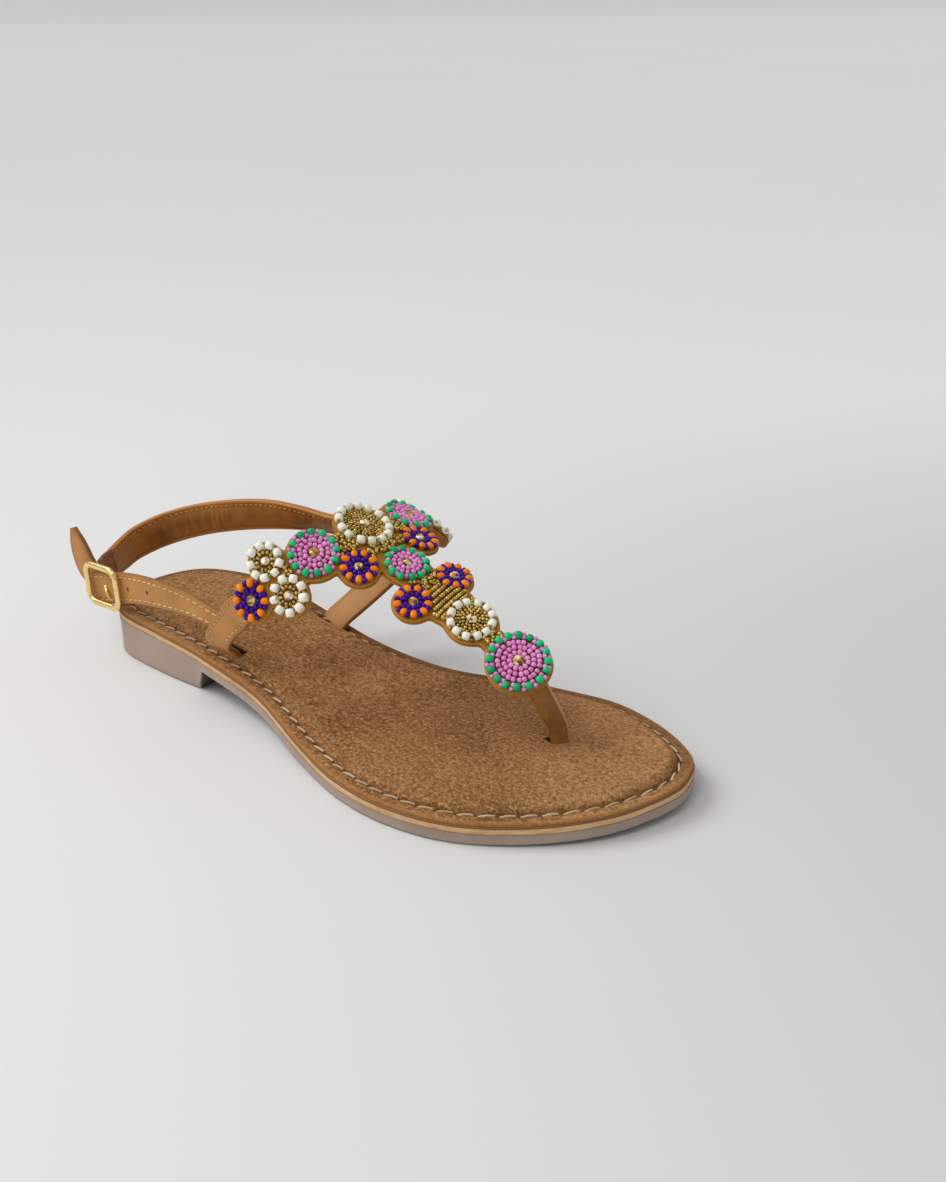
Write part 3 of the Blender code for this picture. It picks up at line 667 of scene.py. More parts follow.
# Distance from the heel, outer edge, inner edge
OUTLINE = (
    (14.2, -10.0, 10.4),
    (18.6, -18.8, 19.2),
    (26.0, -24.2, 24.8),
    (50.0, -27.9, 30.2),
    (80.0, -30.6, 26.1),
    (110.0, -33.8, 23.3),
    (140.0, -43.8, 27.4),
    (165.0, -50.9, 36.6),
    (185.0, -52.1, 41.4),
    (205.0, -47.9, 44.2),
    (225.0, -35.8, 39.2),
    (240.0, -20.7, 30.6),
    (247.0, -8.4, 23.6),
)
STATIONS = 300
CURVE_SAMPLES = 60


def midsole_top(x):
    """Height of the midsole's top edge along the shoe."""
    spring = np.clip((x - SPRING_START) / (TOE_TIP[0] - SPRING_START), 0.0, 1.0)
    shank = smoothstep(x, SHANK_START, SHANK_END)
    return HEEL_HEIGHT + (FOREFOOT_HEIGHT - HEEL_HEIGHT) * shank + TOE_SPRING * spring**2


def breast_share(x):
    """0 on the heel, 1 in front of its slanted breast."""
    return np.clip((x - HEEL_BREAST) / BREAST_RUN, 0.0, 1.0)


def underside(x):
    """Height of the rubber's underside: flat heel, slanted breast, arch, flat forefoot, toe spring."""
    return np.maximum(midsole_top(x) - FOREFOOT_HEIGHT, 0.0) * breast_share(x)


def sole_ring():
    """The outline as a ring with the same stations on both edges.

    It runs from the heel tip along the outer edge to the toe tip, and back along the inner edge.
    """
    outer = [(x, lateral, 0.0) for x, lateral, _ in OUTLINE]
    inner = [(x, medial, 0.0) for x, _, medial in reversed(OUTLINE)]
    corners = [(*HEEL_TIP, 0.0), *outer, (*TOE_TIP, 0.0), *inner]
    dense = smooth_curve(corners, CURVE_SAMPLES, closed=True)[:, :2]
    dense = np.roll(dense, -dense[:, 0].argmin(), axis=0)
    toe = dense[:, 0].argmax()
    x = dense[0, 0] + (dense[toe, 0] - dense[0, 0]) * crowded(STATIONS)
    for corner in (HEEL_BREAST, HEEL_BREAST + BREAST_RUN):
        x[np.abs(x - corner).argmin()] = corner
    back = np.vstack([dense[toe:], dense[:1]])[::-1]
    lateral = np.column_stack([x, np.interp(x, dense[: toe + 1, 0], dense[: toe + 1, 1])])
    medial = np.column_stack([x, np.interp(x, back[:, 0], back[:, 1])])
    return np.vstack([lateral, medial[-2:0:-1]])


def set_in(ring, distance):
    """The ring moved inwards by a distance."""
    run = np.roll(ring, -1, axis=0) - np.roll(ring, 1, axis=0)
    run = run / np.linalg.norm(run, axis=1)[:, None]
    return ring + np.asarray(distance).reshape(-1, 1) * np.column_stack([-run[:, 1], run[:, 0]])


def stacked(rings, closed_top=True):
    """Points and faces of rings laid on each other, closed by strips across the first and the last."""
    count = len(rings[0])
    faces = tube_faces(len(rings), count, caps=False)
    strip = [(0, 1, count - 1)]
    for i in range(1, count // 2):
        strip.append(tuple(dict.fromkeys((i, i + 1, count - i - 1, count - i))))
    faces += [face[::-1] for face in strip]
    if closed_top:
        low = (len(rings) - 1) * count
        faces += [tuple(low + i for i in face) for face in strip]
    return np.vstack(rings), faces


def at_height(ring, height):
    return np.column_stack([ring, np.broadcast_to(height, len(ring))])


outline = sole_ring()
steps = np.linalg.norm(np.diff(outline, axis=0, append=outline[:1]), axis=1)
outline_run = np.cumsum(steps) - steps[0]
print("outline points:", len(outline), "length", round(float(outline_run[-1]), 1), "mm")

# %% [markdown]
# ## Outsole and heel
#
# The outsole is one rubber moulding with a low block heel. Rings that follow the outline make its side: the
# lower edge is rounded off and the side is very slightly hollow, as mouldings are so that they leave the
# mould. The heel's front face, the breast, is where the underside steps up to the arch. Along the forefoot
# the lower edge carries small nicks from the tread.

# %% Outsole
FLOOR_CLEARANCE = 0.02
HEEL_TAPER = 3.0
TAPER_START = 25.0
EDGE_ROUNDING = 0.8
# Level of the underside ring, below zero, where the rubber paints shade
UNDERSIDE_SHADE_LEVEL = -0.3
SEAT_SLACK = 0.05
SIDE_HOLLOW = 0.25
NICK_PITCH = 9.0
NICK_WIDTH = 1.1
NICK_DEPTH = 0.28
NICKS_FROM = (118.0, 130.0)
NICK_TOP = 0.2
# Share of the side's height, distance in from the outline. The first rows round the lower edge.
SIDE_PROFILE = (
    (0.0, 1.0),
    (0.02, 0.45),
    (0.06, 0.12),
    (0.12, 0.0),
    (0.3, 0.7),
    (0.6, 1.0),
    (0.85, 0.6),
    (1.0, 0.0),
)
ROUNDED_ROWS = 3
ROUNDED_SHARE = SIDE_PROFILE[ROUNDED_ROWS][0]


def make_outsole():
    x = outline[:, 0]
    low = underside(x) + FLOOR_CLEARANCE
    high = midsole_top(x) - MIDSOLE_THICKNESS - SEAT_SLACK
    taper = HEEL_TAPER * np.clip((x - TAPER_START) / (HEEL_BREAST - TAPER_START), 0.0, 1.0) ** 2
    taper = taper * (1.0 - breast_share(x))
    beat = np.abs((outline_run % NICK_PITCH) - NICK_PITCH / 2.0)
    nick = NICK_DEPTH * smoothstep(x, *NICKS_FROM) * (1.0 - smoothstep(beat, 0.0, NICK_WIDTH))
    rings = []
    levels = []
    for row, (share, inward) in enumerate(SIDE_PROFILE):
        if row <= ROUNDED_ROWS:
            distance = EDGE_ROUNDING * inward + nick * (1.0 - share / NICK_TOP)
            height = low + EDGE_ROUNDING * row / ROUNDED_ROWS
        else:
            distance = SIDE_HOLLOW * inward
            rise = (share - ROUNDED_SHARE) / (1.0 - ROUNDED_SHARE)
            height = low + EDGE_ROUNDING + (high - low - EDGE_ROUNDING) * rise
        rings.append(at_height(set_in(outline, distance + taper * (1.0 - share)), height))
        # The underside ring takes the level at which the rubber paints shade.
        levels.append(np.full(len(x), share if row else UNDERSIDE_SHADE_LEVEL))
    points, faces = stacked(rings)
    made = piece("outsole_rubber", points, faces, [rubber], level=np.concatenate(levels))
    return dress(made, "rubber", "outsole")


outsole = make_outsole()
print("outsole faces:", len(outsole.data.polygons))

# %% [markdown]
# ## Midsole
#
# A thin leather layer lies between rubber and insole, and its pale cut edge is a bright line all round the
# shoe. The edge isn't quite straight: it was trimmed by hand, so the ring wanders by a tenth of a millimetre.

# %% Midsole
MIDSOLE_SETBACK = 0.15
MIDSOLE_OVERLAP = 0.15
TRIM_WANDER = 0.12
# Waves round the outline, their phase and their share
TRIM_WAVES = ((9.0, 0.4, 0.5), (23.0, 1.9, 0.35))
# Share of the thickness, distance in
MIDSOLE_PROFILE = (
    (0.0, 0.12),
    (0.08, 0.05),
    (0.25, 0.0),
    (0.5, -0.05),
    (0.75, 0.0),
    (0.92, 0.15),
    (1.0, 0.5),
)


def make_midsole():
    x = outline[:, 0]
    run = np.arange(len(outline)) / len(outline) * 2.0 * math.pi
    wander = TRIM_WANDER * sum(share * np.sin(waves * run + phase) for waves, phase, share in TRIM_WAVES)
    top = midsole_top(x)
    rings = []
    levels = []
    for share, inward in MIDSOLE_PROFILE:
        edge = set_in(outline, MIDSOLE_SETBACK + inward + wander)
        rise = (MIDSOLE_THICKNESS + MIDSOLE_OVERLAP) * share
        rings.append(at_height(edge, top - MIDSOLE_THICKNESS + rise))
        levels.append(np.full(len(x), share))
    points, faces = stacked(rings)
    made = piece("midsole_edge", points, faces, [midsole_leather], level=np.concatenate(levels))
    return dress(made, "midsole_leather", "midsole")


midsole = make_midsole()
print("midsole faces:", len(midsole.data.polygons))

# %% [markdown]
# ## Insole
#
# The footbed is suede over a thin foam pad. A stitched channel runs nearly five millimetres in from the edge;
# outside it the suede is pressed flat, and inside it the pad rises. The mesh is a set of rings from the rim
# inwards and a grid across the middle. Dents then shape it: the slots that swallow the vamp straps, the
# dimple round the toe post, a shallow bed under heel and ball, and the soft ripples of an unworn pad. Two
# values go with each point for the material: how far it lies from the rim, and how deep it lies in a slot,
# joined with a painted shadow beside the toe post; the suede paints this second value nearly black as shade.

# %% Insole mesh
GAP = 0.3
# Distance in from the outline, height above the insole's underside
INSOLE_RIM = (
    (0.6, -0.15),
    (0.45, 0.5),
    (0.7, 0.95),
    (1.3, 1.15),
    (3.6, 1.25),
    (4.3, 0.8),
    (4.9, 0.8),
    (5.6, 2.0),
)
INSOLE_PAD = (
    (5.6, 2.0),
    (6.2, 2.7),
    (7.0, 3.15),
    (8.4, 3.45),
    (10.6, 3.6),
    (13.4, 3.65),
    (18.4, 3.7),
    (60.0, 3.7),
)
RIM_SAMPLES = 3
PAD_SAMPLES = 8
MIDDLE_COLUMNS = 52


def rim_distance(points):
    """How far each point lies from the outline."""
    gap_x = points[:, 0, None] - outline[:, 0]
    gap_y = points[:, 1, None] - outline[:, 1]
    return np.hypot(gap_x, gap_y).min(axis=1)


def profile_curve(rows, samples):
    """A smooth curve through rows of distance and height."""
    return smooth_curve([(*row, 0.0) for row in rows], samples)[:, :2]


def insole_mesh():
    """Points, faces and distances from the rim of the insole before it is dented."""
    rings = []
    insets = []
    for distance, height in profile_curve(INSOLE_RIM, RIM_SAMPLES):
        line = set_in(outline, distance)
        rings.append(at_height(line, midsole_top(line[:, 0]) + GAP + height))
        insets.append(np.full(len(line), distance))
    count = len(outline)
    points, faces = stacked(rings, closed_top=False)
    last = (len(rings) - 1) * count
    shares = crowded(MIDDLE_COLUMNS)[1:-1, None]
    inner = rings[-1]
    middle = [inner[i] * (1.0 - shares) + inner[count - i] * shares for i in range(1, STATIONS)]
    middle = np.vstack(middle)
    inset = rim_distance(middle)
    pad = profile_curve(INSOLE_PAD, PAD_SAMPLES)
    middle[:, 2] = midsole_top(middle[:, 0]) + GAP + np.interp(inset, pad[:, 0], pad[:, 1])
    start = len(points)
    columns = range(MIDDLE_COLUMNS + 1)

    def spot(i, column):
        if column == 0:
            return last + i
        if column == MIDDLE_COLUMNS:
            return last + count - i
        return start + (i - 1) * (MIDDLE_COLUMNS - 1) + column - 1

    for i in range(1, STATIONS - 1):
        for left, right in zip(columns, columns[1:]):
            faces.append((spot(i, left), spot(i + 1, left), spot(i + 1, right), spot(i, right)))
    faces.append([last] + [spot(1, column) for column in columns])
    faces.append([last + STATIONS] + [spot(STATIONS - 1, column) for column in reversed(columns)])
    insets.append(np.maximum(inset, insets[-1][0]))
    return np.vstack([points, middle]), faces, np.concatenate(insets)


print("rim rings:", len(profile_curve(INSOLE_RIM, RIM_SAMPLES)))

# %% Insole relief
STITCH_INSET = 4.6
# x, y, half length, half width
LATERAL_SLOT = (85.4, -21.6, 5.8, 2.5)
MEDIAL_SLOT = (95.4, 18.6, 6.3, 2.2)
SLOT_DEPTH = 3.6
SLOT_LIP = (-0.9, 0.25)
# Dimple of the toe post and the painted shadow beside it: x, y, half length, half width
POST_DIMPLE = (205.3, 9.7, 5.0, 5.4)
POST_SHADE = (203.2, 8.0, 3.2, 3.2)
DIMPLE_DEPTH = 1.3
SHADE_DEPTH = 0.85
SHADE_EDGE = (0.45, 0.95)
PAD_RISE = (5.6, 8.0)
RIPPLE_HEIGHT = 0.07
TOP_FROM = INSOLE_RIM[2][0]
INSOLE_SHARP = 80.0
# Soft troughs and ridges of the pad: x, y, half length, half width, depth
BED = (
    (42.0, 1.0, 22.0, 16.0, 0.5),
    (182.0, -4.0, 30.0, 34.0, 0.45),
    (212.0, 24.0, 14.0, 11.0, 0.35),
    (214.0, -22.0, 16.0, 14.0, 0.3),
    (120.0, -6.0, 22.0, 16.0, -0.35),
    (150.0, 4.0, 10.0, 30.0, -0.2),
)


def slot_depth(x, y, slot):
    """How deep a point lies in a strap's slot, from 0 outside it to 1 on its floor."""
    off = np.maximum(np.abs(x - slot[0]) - slot[2], np.abs(y - slot[1]) - slot[3])
    return 1.0 - smoothstep(off, *SLOT_LIP)


def hill(x, y, spot_x, spot_y, length, width):
    """1 at a spot, and falling off softly round it."""
    return np.exp(-(((x - spot_x) / length) ** 2 + ((y - spot_y) / width) ** 2))


def make_insole():
    points, faces, insets = insole_mesh()
    x, y = points[:, 0], points[:, 1]
    top = insets > TOP_FROM
    raised = smoothstep(insets, *PAD_RISE)
    for *spot, depth in BED:
        points[:, 2] -= raised * depth * hill(x, y, *spot)
    ripple = np.sin(x / 5.3 + y / 9.1) * np.sin(y / 6.7 - x / 13.0) + 0.6 * np.sin(x / 2.9 - y / 3.7)
    points[:, 2] += raised * RIPPLE_HEIGHT * ripple
    hollow = np.maximum(slot_depth(x, y, LATERAL_SLOT), slot_depth(x, y, MEDIAL_SLOT))
    dents = SLOT_DEPTH * hollow + DIMPLE_DEPTH * hill(x, y, *POST_DIMPLE)
    points[:, 2] -= np.where(top, dents, 0.0)
    # A painted shadow beside the toe post joins the slots' depth, which the suede paints as shade.
    shade = smoothstep(hill(x, y, *POST_SHADE), *SHADE_EDGE)
    hollow = np.where(top, np.maximum(hollow, SHADE_DEPTH * shade), 0.0)
    made = piece("insole_suede", points, faces, [suede], sharp=INSOLE_SHARP, inset=insets, hollow=hollow)
    return dress(made, "suede", "insole")


insole = make_insole()
print("insole faces:", len(insole.data.polygons))

# %% [markdown]
# ## Stitches
#
# A seam is one stitch repeated along a line, so Geometry Nodes make it. The line is a mesh of edges that
# carries, at each point, the direction that faces out of the leather. The tree resamples the line at the
# stitch pitch, lays a short bowed thread at each step, turned a little across the seam, and can drop a needle
# hole between two stitches: a small dark dot of painted shade.

# %% Tree helpers
MATERIAL = "NodeSocketMaterial"
GEOMETRY = "NodeSocketGeometry"


def geometry_tree(name, sockets):
    """A geometry node tree with named inputs: its helper, inputs, output socket and identifiers."""
    tree = bpy.data.node_groups.new(name, "GeometryNodeTree")
    tree.interface.new_socket("Geometry", in_out="INPUT", socket_type=GEOMETRY)
    names = named_inputs(tree, sockets)
    tree.interface.new_socket("Geometry", in_out="OUTPUT", socket_type=GEOMETRY)
    nodes = Nodes(tree)
    inputs = nodes.add("NodeGroupInput").outputs
    return nodes, inputs, nodes.add("NodeGroupOutput").inputs["Geometry"], names


def named_value(nodes, name, data_type):
    return nodes.step("GeometryNodeInputNamedAttribute", {"Name": name}, "Attribute", data_type=data_type)


def facing_turn(nodes, heading):
    """Rotation that points Z out of the surface and X along the line."""
    axes = {"Primary Axis": named_value(nodes, "facing", "FLOAT_VECTOR"), "Secondary Axis": heading}
    return nodes.step("FunctionNodeAxesToRotation", axes, "Rotation", primary_axis="Z", secondary_axis="X")


def toned(nodes, instances, low, seed):
    """Gives each instance a tone of its own and makes it real."""
    chance = nodes.step("FunctionNodeRandomValue", {2: low, 3: 1.0, "Seed": seed}, 1, data_type="FLOAT")
    values = {"Geometry": instances, "Name": "tone", "Value": chance}
    stored = nodes.step(
        "GeometryNodeStoreNamedAttribute", values, "Geometry", data_type="FLOAT", domain="INSTANCE"
    )
    return nodes.step("GeometryNodeRealizeInstances", {"Geometry": stored}, "Geometry")


def painted(nodes, geometry, material):
    return nodes.step("GeometryNodeSetMaterial", {"Geometry": geometry, "Material": material}, "Geometry")


# %% Stitch tree
THREAD_STEPS = 6
THREAD_SIDES = 7
THREAD_SEED = 3
HOLE_SEED = 4
HOLE_SHAPE = (1.5, 1.0, 0.4)
LOWEST_TONE = 0.2


def build_seam_tree():
    nodes, inputs, output, names = geometry_tree(
        "seam",
        (
            ("Pitch", FLOAT, 0.007),
            ("Stitch Length", FLOAT, 0.0055),
            ("Thread Radius", FLOAT, 0.0004),
            ("Bow", FLOAT, 0.0003),
            ("Slant", FLOAT, 0.0),
            ("Hole Radius", FLOAT, 0.0004),
            ("Thread", MATERIAL, None),
            ("Hole", MATERIAL, None),
        ),
    )
    line = nodes.step("GeometryNodeMeshToCurve", {"Mesh": inputs["Geometry"]}, "Curve")
    values = {"Curve": line, "Length": inputs["Pitch"]}
    spots = nodes.step("GeometryNodeResampleCurve", values, "Curve", mode="LENGTH")
    turn = facing_turn(nodes, nodes.step("GeometryNodeInputTangent", {}, "Tangent"))
    joined = nodes.add("GeometryNodeJoinGeometry")

    def vector(x, y, z):
        return nodes.step("ShaderNodeCombineXYZ", {"X": x, "Y": y, "Z": z}, "Vector")

    def laid(shape, rotation, material, seed):
        """Sets a shape on every spot of the line."""
        placed = {"Points": spots, "Instance": shape, "Rotation": rotation}
        instances = nodes.step("GeometryNodeInstanceOnPoints", placed, "Instances")
        real = toned(nodes, instances, LOWEST_TONE, seed)
        smooth = nodes.step("GeometryNodeSetShadeSmooth", {"Geometry": real}, "Geometry")
        nodes.put(joined.inputs["Geometry"], painted(nodes, smooth, material))

    half = nodes.math("MULTIPLY", inputs["Stitch Length"], 0.5)
    below = nodes.math("MULTIPLY", inputs["Bow"], -1.0)
    bend = {
        "Resolution": THREAD_STEPS,
        "Start": vector(nodes.math("MULTIPLY", half, -1.0), 0.0, below),
        "Middle": vector(0.0, 0.0, nodes.math("MULTIPLY", inputs["Bow"], 2.0)),
        "End": vector(half, 0.0, below),
    }
    arc = nodes.step("GeometryNodeCurveQuadraticBezier", bend, "Curve")
    values = {"Resolution": THREAD_SIDES, "Radius": inputs["Thread Radius"]}
    circle = nodes.step("GeometryNodeCurvePrimitiveCircle", values, "Curve")
    values = {"Curve": arc, "Profile Curve": circle, "Fill Caps": True}
    thread = nodes.step("GeometryNodeCurveToMesh", values, "Mesh")
    euler = vector(0.0, 0.0, inputs["Slant"])
    slant = nodes.step("FunctionNodeEulerToRotation", {"Euler": euler}, "Rotation")
    values = {"Rotation": turn, "Rotate By": slant}
    slanted = nodes.step("FunctionNodeRotateRotation", values, "Rotation", rotation_space="LOCAL")
    laid(thread, slanted, inputs["Thread"], THREAD_SEED)
    values = {"Segments": 8, "Rings": 5, "Radius": inputs["Hole Radius"]}
    dot = nodes.step("GeometryNodeMeshUVSphere", values, "Mesh")
    between = vector(nodes.math("MULTIPLY", inputs["Pitch"], 0.5), 0.0, 0.0)
    values = {"Geometry": dot, "Translation": between, "Scale": HOLE_SHAPE}
    hole = nodes.step("GeometryNodeTransform", values, "Geometry")
    laid(hole, turn, inputs["Hole"], HOLE_SEED)
    nodes.put(output, joined.outputs["Geometry"])
    return nodes.tree, names


seam_tree, seam_names = build_seam_tree()
print("seam tree nodes:", len(seam_tree.nodes))

# %% Seams


def grown(name, source, tree, names, **values):
    """The plain mesh that a tree makes from a source object, which is then removed."""
    change = source.modifiers.new("nodes", "NODES")
    change.node_group = tree
    for label, value in values.items():
        change[names[label.replace("_", " ")]] = value
    graph = bpy.context.evaluated_depsgraph_get()
    ready = source.evaluated_get(graph)
    mesh = bpy.data.meshes.new_from_object(ready, preserve_all_data_layers=True, depsgraph=graph)
    mesh.name = name
    bpy.data.objects.remove(source)
    return linked(name, mesh)


def carrier(name, points, edges, **attributes):
    """A mesh of points and edges for a tree to work on. Its points carry directions or whole numbers."""
    mesh = bpy.data.meshes.new(name)
    mesh.from_pydata(to_metres(points).tolist(), edges, [])
    for label, values in attributes.items():
        if values.ndim == 2:
            layer = mesh.attributes.new(label, "FLOAT_VECTOR", "POINT")
            layer.data.foreach_set("vector", values.astype(np.float32).ravel())
        else:
            layer = mesh.attributes.new(label, "INT", "POINT")
            layer.data.foreach_set("value", values.astype(np.int32))
    return linked(name, mesh)


def seam(name, lines, slot, stitch, thread):
    """One piece of stitching. A line is its points, its outward directions and whether it closes."""
    pitch, length, radius, bow, slant, hole = stitch
    points = []
    facing = []
    edges = []
    for line, outward, closed in lines:
        start = sum(len(part) for part in points)
        count = len(line)
        points.append(line)
        facing.append(outward)
        edges += [(start + i, start + i + 1) for i in range(count - 1)]
        if closed:
            edges.append((start + count - 1, start))
    made = grown(
        name,
        carrier(name + "_line", np.vstack(points), edges, facing=np.vstack(facing)),
        seam_tree,
        seam_names,
        Pitch=pitch * MM,
        Stitch_Length=length * MM,
        Thread_Radius=radius * MM,
        Bow=bow * MM,
        Slant=slant,
        Hole_Radius=hole * MM,
        Thread=thread,
        Hole=needle_hole,
    )
    return dress(made, slot)


print("seam inputs:", ", ".join(seam_names))

# %% Insole seam
INSOLE_STITCH_LIFT = 0.98
# Pitch, length, thread radius, bow, slant, hole radius
INSOLE_STITCH = (6.4, 4.9, 0.42, 0.24, 0.2, 0.38)


def make_insole_seam():
    line = set_in(outline, STITCH_INSET)
    points = at_height(line, midsole_top(line[:, 0]) + GAP + INSOLE_STITCH_LIFT)
    outward = np.tile((0.0, 0.0, 1.0), (len(points), 1))
    return seam("insole_stitches", [(points, outward, True)], "suede", INSOLE_STITCH, insole_thread)


insole_seam = make_insole_seam()
print("insole stitch faces:", len(insole_seam.data.polygons))

# %% [markdown]
# ## Straps
#
# A strap is two leathers sewn back to back. Its section shows this: rounded faces, a fine cleft along the
# middle of each edge, and a furrow where the seam pulls the leather in. The section is swept along a smooth
# path through a few rows that give place, width and lean. Small creases are added along the path where the
# leather bends, and the inner side gets its own lining material.

# %% Strap builder
STRAP_STEP = 1.1
SEAM_INSET = 1.7
CLEFT = 0.22
FURROW = 0.2
THREAD_LIFT = 0.1
NARROWEST_SECTION = 2.6
SEAM_SHADE = 0.7
FOLD_SHADE = 2.2
PATH_SAMPLES = 12
STRAP_SHARP = 50.0


def strap_section(half, deep):
    """Half-width and depth places round a strap: a column each for across, outwards, edge and furrow."""
    right_side = [
        (half - 2.5, deep, 0.0, 0.0),
        (half - SEAM_INSET - 0.45, deep - 0.03, 0.0, 0.4),
        (half - SEAM_INSET, deep - FURROW, 0.0, 1.0),
        (half - SEAM_INSET + 0.45, deep - 0.05, 0.1, 0.4),
        (half - 0.75, deep - 0.05, 0.2, 0.0),
        (half - 0.3, deep - 0.18, 0.5, 0.0),
        (half - 0.05, deep - 0.5, 0.8, 0.0),
        (half, 0.28, 0.9, 0.0),
        (half - 0.06, 0.12, 1.0, 0.0),
        (half - CLEFT, 0.0, 1.0, 1.0),
        (half - 0.06, -0.12, 1.0, 0.0),
        (half, -0.28, 0.9, 0.0),
        (half - 0.05, 0.5 - deep, 0.8, 0.0),
        (half - 0.3, 0.18 - deep, 0.5, 0.0),
        (half - 0.75, 0.05 - deep, 0.2, 0.0),
        (half - SEAM_INSET, FURROW - deep, 0.0, 1.0),
        (half - 2.5, -deep, 0.0, 0.0),
    ]
    left_side = [(-a, b, edge, furrow) for a, b, edge, furrow in reversed(right_side)]
    return [(0.0, deep + 0.08, 0.0, 0.0), *right_side, (0.0, -deep, 0.0, 0.0), *left_side]


def swept(rows, across, spacing=STRAP_STEP):
    """A strap's path at even steps: place, width, and unit vectors along, across and outwards."""
    table = np.hstack([np.asarray(rows, float), np.asarray(across, float)])
    path = evenly(smooth_curve(table, PATH_SAMPLES), spacing)
    tangent = np.gradient(path[:, :3], axis=0)
    tangent /= np.linalg.norm(tangent, axis=1)[:, None]
    wide = path[:, 4:7] - tangent * np.sum(path[:, 4:7] * tangent, axis=1)[:, None]
    wide /= np.linalg.norm(wide, axis=1)[:, None]
    return path[:, :3], path[:, 3], tangent, wide, np.cross(tangent, wide)


def make_strap(name, path, thickness, leathers, face, nodes=(), creases=None):
    """A two-layer strap. Its outer face has the first leather, its inner face and edge the second."""
    place, width, _, wide, thick = path
    points = []
    edges = []
    furrows = []
    for row, half in enumerate(width / 2.0):
        full = max(half, NARROWEST_SECTION)
        squeeze = half / full
        for a, b, edge, furrow in strap_section(full, thickness / 2.0):
            push = creases(row, a * squeeze, b) if creases else 0.0
            fold = abs(creases(row + 1, a * squeeze, b) - push) if creases else 0.0
            points.append(place[row] + a * squeeze * wide[row] + (b * face + push) * thick[row])
            edges.append(edge)
            # Painted shade: dark in a seam's groove and the edge's cleft, and where a crease bends the
            # lining.
            furrows.append(min(1.0, SEAM_SHADE * furrow + FOLD_SHADE * fold))
    size = len(points) // len(place)
    faces = tube_faces(len(place), size)
    if face < 0.0:
        faces = [corners[::-1] for corners in faces]
    lining = range(size // 4 + 1, size - size // 4 - 1)
    choice = [int(i % size in lining) for i in range((len(place) - 1) * size)] + [0, 0]
    made = piece(name, points, faces, leathers, choice, STRAP_SHARP, edge=edges, furrow=furrows)
    return dress(made, "strap_leather", *nodes)


def seam_lines(path, thickness, face, sides=(-1.0, 1.0), inset=SEAM_INSET, first=2):
    """Lines for the stitching along a strap's edges, on its outer or inner face."""
    place, width, _, wide, thick = path
    lift = face * (thickness / 2.0 - FURROW + THREAD_LIFT)
    lines = []
    for side in sides:
        line = place + side * (width / 2.0 - inset)[:, None] * wide + lift * thick
        lines.append((line[first:-2], face * thick[first:-2], False))
    return lines


print("points of a section:", len(strap_section(6.0, 1.1)))

# %% [markdown]
# ### The upper's own surface
#
# The T lies on the instep like a saddle: a spine that falls towards the toes, bent down to both sides and
# rolled a little to the outer side. Distances along the spine and across it are all that the T, its beads and
# the tops of its straps need, so one small class turns such a pair into a place and a direction.

# %% Upper surface
UPPER_ORIGIN = np.array([126.8, 5.2, 67.0])
UPPER_YAW = math.radians(-2.7)
# Distance along the spine, slope in degrees
SPINE = ((-20.0, 25.7), (0.0, 25.9), (20.0, 24.7), (40.0, 21.9), (60.0, 22.6), (80.0, 27.1), (95.0, 32.0))
ROLL_AT_TOP = math.radians(-2.0)
ROLL_PER_MM = math.radians(0.37)
CROSS_BEND = 0.0176
SIDE_BEND = 0.00042
SIDE_START = 16.5
END_START = 42.0
END_EASE = 0.034
# The inner shoulder lies flatter, then falls more steeply: distance across, share of the ease
INNER_SHOULDER = ((13.0, 0.0), (18.0, 1.0), (27.0, 1.0), (31.0, 0.0), (34.0, -1.1), (39.0, -1.1), (43.0, 0.0))
INNER_EASE = 0.22
SURFACE_STEP = 0.25


